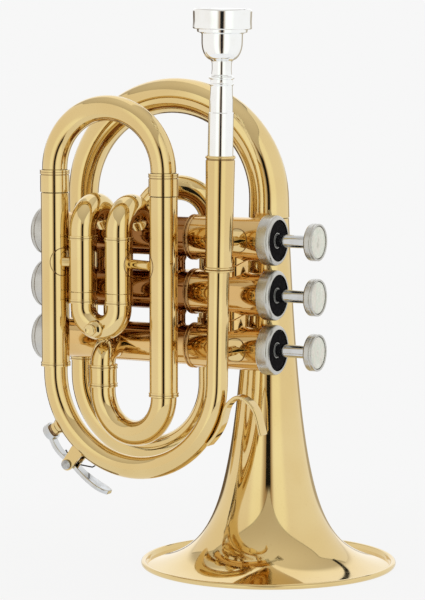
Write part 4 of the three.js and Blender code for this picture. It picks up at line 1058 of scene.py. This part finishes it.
def dress_mouthpiece(base):
    """Rim, cup, throat and shank: each corner is a radius and its depth below the rim."""
    outside = [
        (10.6, RIM_DROP), *arc(RIM_RADIUS - RIM_CORNER, RIM_DROP + RIM_CORNER, RIM_CORNER, -90, 0),
        (13.2, 3.0), (13.1, 6.0), (RIM_RADIUS, 8.4), *arc(12.75, 8.7, 0.5, 0, 90, 3),
        (11.6, 9.2), (11.4, 9.5), (11.2, 10.6), (9.6, 11.1), (9.3, 11.6), (9.25, 15.0),
        *arc(4.5, 15.0, 4.75, 8, 80, 9, rise=8.2),
        (4.75, 23.6), (4.5, 24.5), (4.4, 27.0), (4.6, 29.6), (5.0, 30.1),
        *arc(5.15, 31.0, 0.6, -80, 80), (4.9, 31.8), (5.1, 33.0), *arc(5.0, 33.9, 0.5, -60, 60), (5.0, 35.0),
        (5.2, 40.2), (5.35, 40.5), (5.4, 46.4), (5.7, 46.8),
        (SHANK_RADIUS, MOUTHPIECE_LENGTH - MOUTHPIECE_INSERT), (SHANK_TIP, MOUTHPIECE_LENGTH),
    ]
    inside = [
        (BACKBORE, MOUTHPIECE_LENGTH), (THROAT, THROAT_END), (THROAT, THROAT_START),
        *arc(THROAT, CUP_TOP, CUP_WIDE, 82, 10, 9, rise=CUP_DEEP), (8.15, CUP_TOP),
        *arc(10.0, RIM_DROP + RIM_BITE, RIM_BITE, 180, 255, 5),
    ]
    top = RECEIVER_BOTTOM + RECEIVER_LENGTH - MOUTHPIECE_INSERT + MOUTHPIECE_LENGTH
    outline = [(radius, top - depth) for radius, depth in (*outside, *inside)]
    mouthpiece = spun(outline, facing(base, lead_axis()), ease=MOUTHPIECE_EASE)
    piece("mouthpiece_turned", mouthpiece, SILVER, "mouthpiece_body", "mouthpiece")


# Back run
def horn_radius(height):
    """The bell's outside at a share of its height."""
    return BELL_RADIUS * (SWELL_SHARE * (height + OFFSET_SHARE) ** -POWER_SHARE - SINK_SHARE)


def dress_bell():
    shares = [(step / BELL_STEPS) ** BELL_CROWD_SHARE for step in range(1, BELL_STEPS + 1)]
    flare = [(horn_radius(share), share * BELL_HEIGHT) for share in shares]
    edge = BELL_RADIUS - BELL_BEAD
    outside = [corner for corner in flare if corner[0] < edge - BELL_BEAD]
    inside = [(radius - BELL_WALL, height) for radius, height in reversed(outside)]
    bell = spun([*outside, *inside, *arc(edge, BELL_BEAD, BELL_BEAD, -90, 180, 15)],
                Matrix.Translation(at(BELL_X, BELL_Y, 0)), sides=BELL_SIDES, ease=0)
    piece("bell_spun", bell, BRASS, "instrument", "bell")


def dress_bell_bow():
    end = horn_radius(1)
    span = math.hypot(BELL_X - FAR_X, BELL_Y - FAR_Y)
    across = Vector((BELL_Y - FAR_Y, -(BELL_X - FAR_X), 0)).normalized()
    tube = Tube((BELL_X, BELL_Y, BELL_HEIGHT + GAP), UP, end + BELL_FERRULE_WALL)
    tube.straight(BELL_FERRULE, end).bend(span / 2, math.pi, across, BELL_LEG)
    tube.straight(BELL_HEIGHT + GAP + BELL_FERRULE - BELL_LEG_BOTTOM, TAIL_TUBE)
    piece("bell_bow_drawn", tube.done(), BRASS, "instrument", "bell_bow")


def dress_tail():
    tube = Tube((FAR_X, FAR_Y, BELL_LEG_BOTTOM - GAP), DOWN, TAIL_TUBE)
    tube.band(RING_WIDTH, RING_RADIUS).straight(BELL_LEG_BOTTOM - GAP - RING_WIDTH - TAIL_BOW_Z)
    tube.bend((TAIL_X - FAR_X) / 2, math.pi, FRONT).straight(TAIL_JOINT_Z - TAIL_BOW_Z)
    piece("tail_bow_drawn", tube.done(), BRASS, "instrument", "tail_bow")

    across = Vector((math.sin(TAIL_ARC_TURN), -math.cos(TAIL_ARC_TURN), 0))
    tube = Tube((TAIL_X, FAR_Y, TAIL_JOINT_Z + GAP), UP, RING_RADIUS)
    tube.straight(TAIL_FERRULE).step(TAIL_TUBE)
    tube.straight(TAIL_ARC_Z - TAIL_JOINT_Z - GAP - TAIL_FERRULE, TAIL_ARC_TUBE)
    tube.bend(TAIL_ARC, math.pi, across)
    arc_piece = tube.done(casing_seat(1))
    piece("tail_arc_drawn", arc_piece, BRASS, "instrument", "tail_arc")


def dress_slide(number, start, heading, axis, leg, end_straight, leg_radius, ferrule_radius, bow_radius):
    """A slide's leg with its ferrule, the bow about an axis, and the other leg."""
    tube = Tube(start, heading, leg_radius)
    tube.straight(leg).step(ferrule_radius).straight(end_straight).step(bow_radius)
    tube.bend(LOOP_PITCH / 2, math.pi, axis)
    tube.step(ferrule_radius).straight(end_straight).step(leg_radius).straight(leg)
    piece(f"{number}_slide_drawn", tube.done(), BRASS, f"{number}_valve_slide", f"{number}_slide")


def dress_back_loops():
    third_z = valve_z(3) + THIRD_ELBOW
    for number, x in enumerate((THIRD_X, THIRD_X + LOOP_PITCH), 1):
        tube = Tube((x, BACK_Y, third_z + THIRD_SLEEVE), DOWN, SLEEVE_RADIUS, SLEEVE_BORE, THIRD_LEG + ROOM)
        tube.band(RING_WIDTH, RING_RADIUS).straight(THIRD_SLEEVE - RING_WIDTH).step(ELBOW_TUBE)
        tube.bend(THIRD_ELBOW, math.pi / 2, LEFT).straight(BACK_Y - THIRD_ELBOW - CASING_RADIUS)
        sleeve = tube.done(casing_seat(3))
        piece(f"third_sleeve_{number}", sleeve, BRASS, "instrument", f"third_slide_sleeve_{number}")
    dress_slide("third", (THIRD_X, BACK_Y, third_z + THIRD_SLEEVE + GAP - THIRD_LEG), UP, BACK,
                THIRD_LEG, THIRD_STRAIGHT, SLIDE_LEG, SLEEVE_RADIUS, BOW_TUBE)

    for number, x in enumerate((SECOND_X, SECOND_X + LOOP_PITCH), 1):
        tube = Tube((x, CASING_RADIUS, valve_z(2)), BACK, SECOND_SLEEVE, SECOND_SLEEVE - WALL)
        press(tube.mouth, FRONT, *casing_seat(2))
        tube.straight(SECOND_SLEEVE_END - CASING_RADIUS - RING_WIDTH).band(RING_WIDTH, SECOND_SLEEVE + GAP)
        sleeve = tube.done(depth=SECOND_LEG + ROOM)
        piece(f"second_sleeve_{number}", sleeve, BRASS, "instrument", f"second_slide_sleeve_{number}")
    start = SECOND_SLEEVE_END + GAP
    dress_slide("second", (SECOND_X, start - SECOND_LEG, valve_z(2)), BACK, DOWN,
                SECOND_LEG, SECOND_STRAIGHT, SECOND_LEG_RADIUS, SECOND_SLEEVE, SECOND_TUBE)


# Braces
def wrap(verts, place, inward, axis, radius):
    """Bends a flat disc round a cylinder, keeping its size along the skin."""
    side = axis.cross(inward).normalized()
    for vert in verts:
        out = vert.co - place
        turn = out.dot(side) / radius
        skin = (inward * math.cos(turn) + side * math.sin(turn)) * radius
        vert.co = place + axis * out.dot(axis) + skin


def brace(ends, headings, axes, radii, feet=(FOOT_RADIUS, FOOT_RADIUS)):
    """A turned post between two tubes, with a round foot bent to each."""
    skins = [end + heading * radius * MM for end, heading, radius in zip(ends, headings, radii)]
    length = (skins[1] - skins[0]).length / MM
    sunk = FOOT_WALL / 2
    post = spun([(0, -sunk), (BRACE_RADIUS, -sunk), (BRACE_RADIUS, length + sunk), (0, length + sunk)],
                facing(skins[0], (skins[1] - skins[0]).normalized()), sides=SMALL_SIDES)
    shells = []
    for place, heading, axis, radius, reach in zip(ends, headings, axes, radii, feet):
        rings = [((reach - FOOT_LINE) * step / FOOT_RINGS, 0) for step in range(FOOT_RINGS + 1)]
        # The foot's edge is darkened with grime and painted shade
        disc = spun([*rings, (reach, 0, FOOT_GRIME_AND_SHADE)], facing(place, heading), sides=FOOT_SIDES, ease=0)
        wrap(disc.verts, place, heading, axis, (radius + FOOT_WALL / 8) * MM)
        faced_out(disc)
        if sum(face.normal.dot(heading) for face in disc.faces) < 0:
            bmesh.ops.reverse_faces(disc, faces=disc.faces)
        bmesh.ops.solidify(disc, geom=disc.faces[:], thickness=FOOT_WALL * MM)
        shells.append(eased(faced_out(disc), FOOT_EASE, 2, BLUNT))
    return merged(post, *shells)


def turned_heading(angle):
    """A level heading, its angle counted from +X towards the front."""
    return Vector((math.cos(angle), -math.sin(angle), 0))


def dress_braces(base):
    spans = ((LEFT_SLEEVE_X, FIRST_X), (FIRST_X + FIRST_PITCH, RIGHT_SLEEVE_X))
    for number, (span, turns, feet) in enumerate(zip(spans, FOOT_TURNS, FOOT_RADII), 1):
        ends = [at(x, FRONT_Y, BRACE_Z) for x in span]
        headings = [turned_heading(turns[0]), turned_heading(math.pi - turns[1])]
        made = brace(ends, headings, (UP, UP), (SLEEVE_RADIUS, SLEEVE_RADIUS), feet)
        piece(f"slide_brace_{number}_soldered", made, BRASS, "instrument", f"slide_brace_{number}")
    axis = lead_axis()
    for number, valve, radius in ((1, 1, RECEIVER_TOP_RADIUS), (2, 3, LEAD_RADIUS)):
        start = base + axis * (valve_z(valve) * MM - base.z) / axis.z
        end = Vector((start.x, at(0, 0, 0).y, start.z))
        made = brace((start, end), (BACK, FRONT), (axis, RIGHT), (radius, CASING_TOP_RADIUS))
        piece(f"leadpipe_brace_{number}_soldered", made, BRASS, "instrument", f"leadpipe_brace_{number}")


def dress_hook():
    reach = LEAD_BOW_TUBE + HOOK_THICKNESS / 2
    angles = (HOOK_FOOT, (HOOK_FOOT + HOOK_LIFT) / 2, HOOK_LIFT)
    x, plane, z = BOW_CENTRE
    places = [on_bow(angle, reach - sunk) for angle, sunk in zip(angles, HOOK_SUNK)]
    places += [at(x + across * HOOK_SPAN, plane, z - fall * HOOK_DROP) for across, fall in HOOK_CURL_SHARES]
    hook = strap(smooth_line(places, HOOK_STEPS), HOOK_WIDTH, HOOK_THICKNESS, HOOK_EASE)
    piece("hook_bent", hook, BRASS, "instrument", "pinky_hook")


# Water key
def bow_strap(start, end, start_reach, end_reach, width, bulge=0.0, steps=12):
    """A strap beside the leadpipe's bow, from one angle and reach to another, swelling between them."""
    line = []
    for step in range(steps + 1):
        share = step / steps
        reach = start_reach + (end_reach - start_reach) * share + bulge * math.sin(math.pi * share)
        line.append(on_bow(start + (end - start) * share, reach + LEVER_THICKNESS / 2))
    return strap(line, width, LEVER_THICKNESS, LEVER_EASE)


def thumb_blade(start_reach):
    """The lever's far arm: it broadens to a blade with a round tip."""
    blade = bow_strap(PIVOT_ANGLE, THUMB_ANGLE, start_reach, THUMB_REACH, LEVER_WIDTH, steps=24)
    centre = at(*BOW_CENTRE)
    for vert in blade.verts:
        out = vert.co - centre
        share = (math.atan2(out.z, out.x) % (2 * math.pi) - PIVOT_ANGLE) / (THUMB_ANGLE - PIVOT_ANGLE)
        share = min(max(share, 0), 1)
        spread = 1 + (THUMB_WIDTH / LEVER_WIDTH - 1) * math.sin(math.pi / 2 * share) ** 2
        tip = max(share - THUMB_TIP, 0) / (1 - THUMB_TIP)
        vert.co.y = centre.y + out.y * spread * math.sqrt(1 - THUMB_ROUND * tip ** 2)
    return blade


def dress_water_key():
    """The cork in its cup on the lever, the screw through the saddle and the wire that shuts the key."""
    cork_face = NIPPLE_REACH + GAP
    cork_back = cork_face + CORK_THICKNESS
    cork = spun([(0, cork_face), (CORK_RADIUS, cork_face), (CORK_RADIUS, cork_back), (0, cork_back)],
                nipple_place(), sides=SMALL_SIDES, ease=CORK_EASE)
    piece("cork_cut", cork, CORK, "water_key", "water_key_cork")
    piece("lever_bent", water_key_lever(cork_back), BRIGHT_NICKEL, "water_key", "water_key_lever")

    outer = LEVER_WIDTH / 2 + GAP + EAR_THICKNESS + GAP
    pitch = 2 * KEY_WIRE + GAP
    head, tail = -outer - SCREW_HEAD_LENGTH, outer + (KEY_TURNS + 1) * pitch
    screw = spun([
        (0, head), (SCREW_HEAD - SCREW_CHAMFER, head), (SCREW_HEAD, head + SCREW_CHAMFER),
        (SCREW_HEAD, -outer), (SCREW_RADIUS, -outer), (SCREW_RADIUS, tail), (0, tail),
    ], pivot_place(), sides=SMALL_SIDES)
    piece("pivot_screw", screw, STEEL, "instrument", "water_key_screw")
    wind_key_spring(outer + KEY_WIRE, pitch)


def water_key_lever(cork_back):
    """The cup round the cork, the bent arm, the eye for the screw and the blade for the thumb."""
    back = cork_back + GAP
    well, lip = CORK_RADIUS + GAP, CORK_RADIUS + GAP + CORK_CUP_WALL
    cup_back = back + LEVER_THICKNESS
    cup_rim = cork_back - CORK_CUP_DEPTH
    cup = spun([
        (0, back), (well, back), (well, cup_rim), (lip, cup_rim), (lip, back),
        *arc(lip - CUP_CORNER, cup_back - CUP_CORNER, CUP_CORNER, 0, 90, 4), (0, cup_back + CUP_CROWN),
    ], nipple_place(), sides=SMALL_SIDES)
    arm_reach = PIVOT_REACH - LEVER_THICKNESS / 2
    arm = bow_strap(NIPPLE_ANGLE, PIVOT_ANGLE, back, arm_reach, LEVER_WIDTH, LEVER_BULGE)
    half = LEVER_WIDTH / 2
    eye = spun([
        (SCREW_RADIUS + GAP, -half), (EYE_RADIUS, -half), (EYE_RADIUS, half), (SCREW_RADIUS + GAP, half),
    ], pivot_place(), sides=SMALL_SIDES, ease=EYE_EASE)
    return merged(cup, arm, thumb_blade(arm_reach), eye)


def wind_key_spring(start_y, pitch):
    """A wire from the lever, wound round the screw and hooked down to the bow."""
    centre = on_bow(PIVOT_ANGLE, PIVOT_REACH)
    radius = SCREW_RADIUS + GAP + KEY_WIRE
    end_y = start_y + KEY_TURNS * pitch
    coil = []
    for step in range(KEY_TURNS * KEY_STEPS + 1):
        turn = step / KEY_STEPS
        angle = PIVOT_ANGLE + 2 * math.pi * turn
        coil.append(centre + Vector((radius * math.cos(angle), start_y + pitch * turn,
                                     radius * math.sin(angle))) * MM)
    line = [
        on_bow(PIVOT_ANGLE - KEY_ARM, PIVOT_REACH, start_y), *coil,
        on_bow(PIVOT_ANGLE + KEY_ARM, PIVOT_REACH - KEY_HOOK / 2, end_y),
        on_bow(PIVOT_ANGLE + 1.2 * KEY_ARM, PIVOT_REACH - KEY_HOOK, end_y),
        on_bow(PIVOT_ANGLE + KEY_ARM, LEAD_BOW_TUBE + GAP + KEY_WIRE, end_y),
    ]
    wire = bpy.data.curves.new("key_spring_wire", "CURVE")
    wire.dimensions = "3D"
    wire.bevel_depth = KEY_WIRE * MM
    wire.bevel_resolution = 3
    wire.use_fill_caps = True
    strand = wire.splines.new("POLY")
    strand.points.add(len(line) - 1)
    for point, place in zip(strand.points, line):
        point.co = (*place, 1)
    slot, made = WIRE_STEEL
    wire.materials.append(made)
    spring = placed("key_spring_wound", wire)
    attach(spring, "instrument")
    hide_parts("water_key_spring")


# Studio
CAMERA_PLACE = (717.0, -1178.0, 272.6)
CAMERA_AZIMUTH = math.radians(28)
CAMERA_FALL = math.radians(6.2)
LENS = 174.0
PAPER_TONE = tone(0.93, 0.93, 0.93)
# The floor, in metres, and the share of its own light close to the instrument
FLOOR_SIZE, FLOOR_FADE, FLOOR_GAP = 0.27, 0.09, 0.0002
FLOOR_LIFT = 0.95
# The tent, in degrees round from the camera and up from level: a dark slot for the camera, a broad panel
# on each side of it whose top edge climbs away from the slot, and the pale backdrop behind
SLOT_MIDDLE, SLOT_HALF, SLOT_TOP = -2.0, 6.8, 18.5
SHADE_LEFT, SHADE_RIGHT = 22.0, 16.0
GLEAM_START, GLEAM_END, GLEAM_SOFT = 14.0, 44.0, 8.0
PANEL_START, PANEL_CLIMB_LEFT, PANEL_CLIMB_RIGHT, PANEL_BEND = 16.5, 26.0, 35.0, 28.0
PANEL_DROP_START, PANEL_DROP_END, PANEL_DROP = 120.0, 165.0, 22.0
PANEL_END = 154.0
REAR_START, REAR_TOP = 140.0, 1.0
PANEL_LINE = 1.2
CEILING_START, CEILING_END = 25.0, 85.0
BACKDROP_START, BACKDROP_END = PANEL_END - 4, PANEL_END + 6
# How softly the parts of the tent end: the panels, their dark line, the slot, the tops of slot and rear, the
# rail's ends, and the change from left to right
PANEL_SOFT, LINE_SOFT, SLOT_SOFT, TOP_SOFT, RAIL_SOFT, TURN_SOFT = 0.4, 0.3, 1.2, 2.0, 1.0, 20.0
RAIL_START, RAIL_END, RAIL_TOP, RAIL_HALF, RAIL_FALL = 141.0, 174.0, 40.5, 1.2, 0.32
# The tent's tones, a pair's from left to right and the ceiling's from its edge to its top
CEILING_TONES = tone(0.62, 0.59, 0.55), tone(0.82, 0.80, 0.77)
BACKDROP_TONE = tone(1.12, 1.12, 1.12)
PANEL_TONES = tone(0.95, 0.92, 0.88), tone(0.97, 0.965, 0.945)
SHADE_TONE, GLEAM_TONE = tone(0.46, 0.35, 0.24), tone(1.09, 1.12, 1.05)
REAR_TONES = tone(0.15, 0.11, 0.07), tone(0.50, 0.44, 0.34)
LINE_TONE, RAIL_TONE, SLOT_TONE = tone(0.20, 0.19, 0.16), tone(0.02, 0.02, 0.02), tone(0.012, 0.012, 0.012)


def dress_camera():
    look = Vector((-math.sin(CAMERA_AZIMUTH) * math.cos(CAMERA_FALL),
                   math.cos(CAMERA_AZIMUTH) * math.cos(CAMERA_FALL), -math.sin(CAMERA_FALL)))
    data = bpy.data.cameras.new("camera")
    data.lens = LENS
    data.clip_end = 50
    camera = placed("camera", data)
    camera.location = at(*CAMERA_PLACE)
    camera.rotation_euler = look.to_track_quat("-Z", "Y").to_euler()
    bpy.context.scene.camera = camera


def light_studio():
    """A pale tent with two broad panels in front and the dark slot that the camera looks through."""
    world = bpy.data.worlds.new("studio")
    bpy.context.scene.world = world
    world.use_nodes = True
    sky = Finish(world.node_tree)
    way = sky.node("ShaderNodeTexCoord", output="Generated")
    towards = (math.sin(CAMERA_AZIMUTH), -math.cos(CAMERA_AZIMUTH), 0.0)
    beside = (math.cos(CAMERA_AZIMUTH), math.sin(CAMERA_AZIMUTH), 0.0)
    ahead = sky.vector("DOT_PRODUCT", way, towards, output="Value")
    side = sky.vector("DOT_PRODUCT", way, beside, output="Value")
    height = sky.vector("DOT_PRODUCT", way, (0.0, 0.0, 1.0), output="Value")
    turn = side.math("ARCTAN2", ahead) * math.degrees(1)
    lift = height.math("ARCSINE") * math.degrees(1)
    round_by = turn.math("ABSOLUTE")

    def under(value, limit, soft):
        return sky.spread(limit - value, -soft, soft)

    def inside(value, low, high, soft):
        return sky.spread(value, low - soft, low + soft) * under(value, high, soft)

    # Where each part of the tent lies, as masks from 0 to 1
    climb = sky.spread(turn, -5, 5, PANEL_CLIMB_LEFT, PANEL_CLIMB_RIGHT)
    risen = 1.0 - (round_by * (-1 / PANEL_BEND)).math("EXPONENT")
    drop = sky.spread(round_by, PANEL_DROP_START, PANEL_DROP_END, 0.0, PANEL_DROP)
    below = climb * risen + PANEL_START - drop - lift
    front = under(round_by, PANEL_END, 0.5)
    panel = sky.spread(below, -PANEL_SOFT, PANEL_SOFT) * front
    line = inside(below, 0.0, PANEL_LINE, LINE_SOFT) * front
    rear = sky.spread(round_by, REAR_START - 5, REAR_START + 5) * under(lift, REAR_TOP, TOP_SOFT)
    off_slot = (turn - SLOT_MIDDLE).math("ABSOLUTE")
    shade = sky.spread(off_slot, SLOT_HALF, sky.spread(turn, -1, 1, SHADE_LEFT, SHADE_RIGHT))
    slot = under(off_slot, SLOT_HALF, SLOT_SOFT) * under(lift, SLOT_TOP, TOP_SOFT)
    rail_lift = lift + (turn - RAIL_START) * RAIL_FALL
    rail = inside(turn, RAIL_START, RAIL_END, RAIL_SOFT) * inside(
        rail_lift, RAIL_TOP - RAIL_HALF, RAIL_TOP + RAIL_HALF, PANEL_SOFT)
    gleam = inside(off_slot, GLEAM_START, GLEAM_END, GLEAM_SOFT)
    to_right = sky.spread(turn, -TURN_SOFT, TURN_SOFT)

    # What each part looks like, laid over one another from the back to the front
    ceiling = sky.blend(sky.spread(lift, CEILING_START, CEILING_END), *CEILING_TONES)
    tent = sky.blend(sky.spread(round_by, BACKDROP_START, BACKDROP_END), ceiling, BACKDROP_TONE)
    lit = sky.blend(shade, SHADE_TONE, sky.blend(gleam, sky.blend(to_right, *PANEL_TONES), GLEAM_TONE))
    colour = sky.blend(panel, tent, lit)
    colour = sky.blend(line * 0.6, colour, LINE_TONE)
    colour = sky.blend(rear, colour, sky.blend(to_right, *REAR_TONES))
    colour = sky.blend(rail, colour, RAIL_TONE)
    colour = sky.blend(slot, colour, SLOT_TONE)
    shown = sky.node("ShaderNodeLightPath", output="Is Camera Ray")
    colour = sky.blend(shown, colour, PAPER_TONE)
    light = sky.node("ShaderNodeBackground", {}, {"Color": colour, "Strength": 1.0})
    sky.node("ShaderNodeOutputWorld", {}, {"Surface": light})


def lay_floor():
    """Pale paper that takes the shadow near the instrument and fades into the backdrop."""
    mesh = bmesh.new()
    bmesh.ops.create_circle(mesh, cap_ends=True, segments=FLOOR_SIDES, radius=FLOOR_SIZE,
                            matrix=Matrix.Translation((0, 0, -FLOOR_GAP)))
    made = bpy.data.materials.new("floor_paper")
    made.use_nodes = True
    paper = Finish(made.node_tree)
    place = paper.node("ShaderNodeTexCoord", output="Object")
    away = paper.vector("LENGTH", place, output="Value")
    fade = paper.spread(away, FLOOR_FADE, FLOOR_SIZE, FLOOR_LIFT, 1.0)
    shown = paper.node("ShaderNodeLightPath", output="Is Camera Ray") + paper.node(
        "ShaderNodeLightPath", output="Is Glossy Ray")
    matt = paper.node("ShaderNodeBsdfDiffuse", {}, {"Color": PAPER_TONE})
    glow = paper.node("ShaderNodeEmission", {}, {"Color": PAPER_TONE, "Strength": 1.0})
    mixed = paper.node("ShaderNodeMixShader", {}, {0: fade * shown, 1: matt, 2: glow})
    paper.node("ShaderNodeOutputMaterial", {}, {"Surface": mixed})
    data = mesh_data("floor", mesh)
    data.materials.append(made)
    floor = placed("floor", data)


def finish_inner_parts():
    """The pistons keep their own shapes and get their metal."""
    _, made = MONEL
    for number in VALVES:
        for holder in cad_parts[f"piston_{number}"].material_slots:
            holder.material = made


dress_camera()
light_studio()
lay_floor()
finish_inner_parts()
for valve in VALVES:
    dress_valve(valve)
    dress_spring(valve)
for transfer in (1, 2):
    dress_transfer(transfer)
for upper_valve, end_name, bridge_x in BRIDGES:
    dress_bridge(upper_valve, end_name, bridge_x)
lead_base = leadpipe()
dress_receiver(lead_base)
dress_mouthpiece(lead_base)
dress_sleeve("left_slide_sleeve", LEFT_SLEEVE_X, LEFT_SLEEVE_Z)
dress_sleeve("right_slide_sleeve", RIGHT_SLEEVE_X, RIGHT_SLEEVE_Z)
dress_tuning_slide()
dress_inlet()
dress_first_loop()
dress_back_loops()
dress_bell()
dress_bell_bow()
dress_tail()
dress_braces(lead_base)
dress_hook()
dress_water_key()

bpy.context.scene.view_settings.view_transform = "Standard"
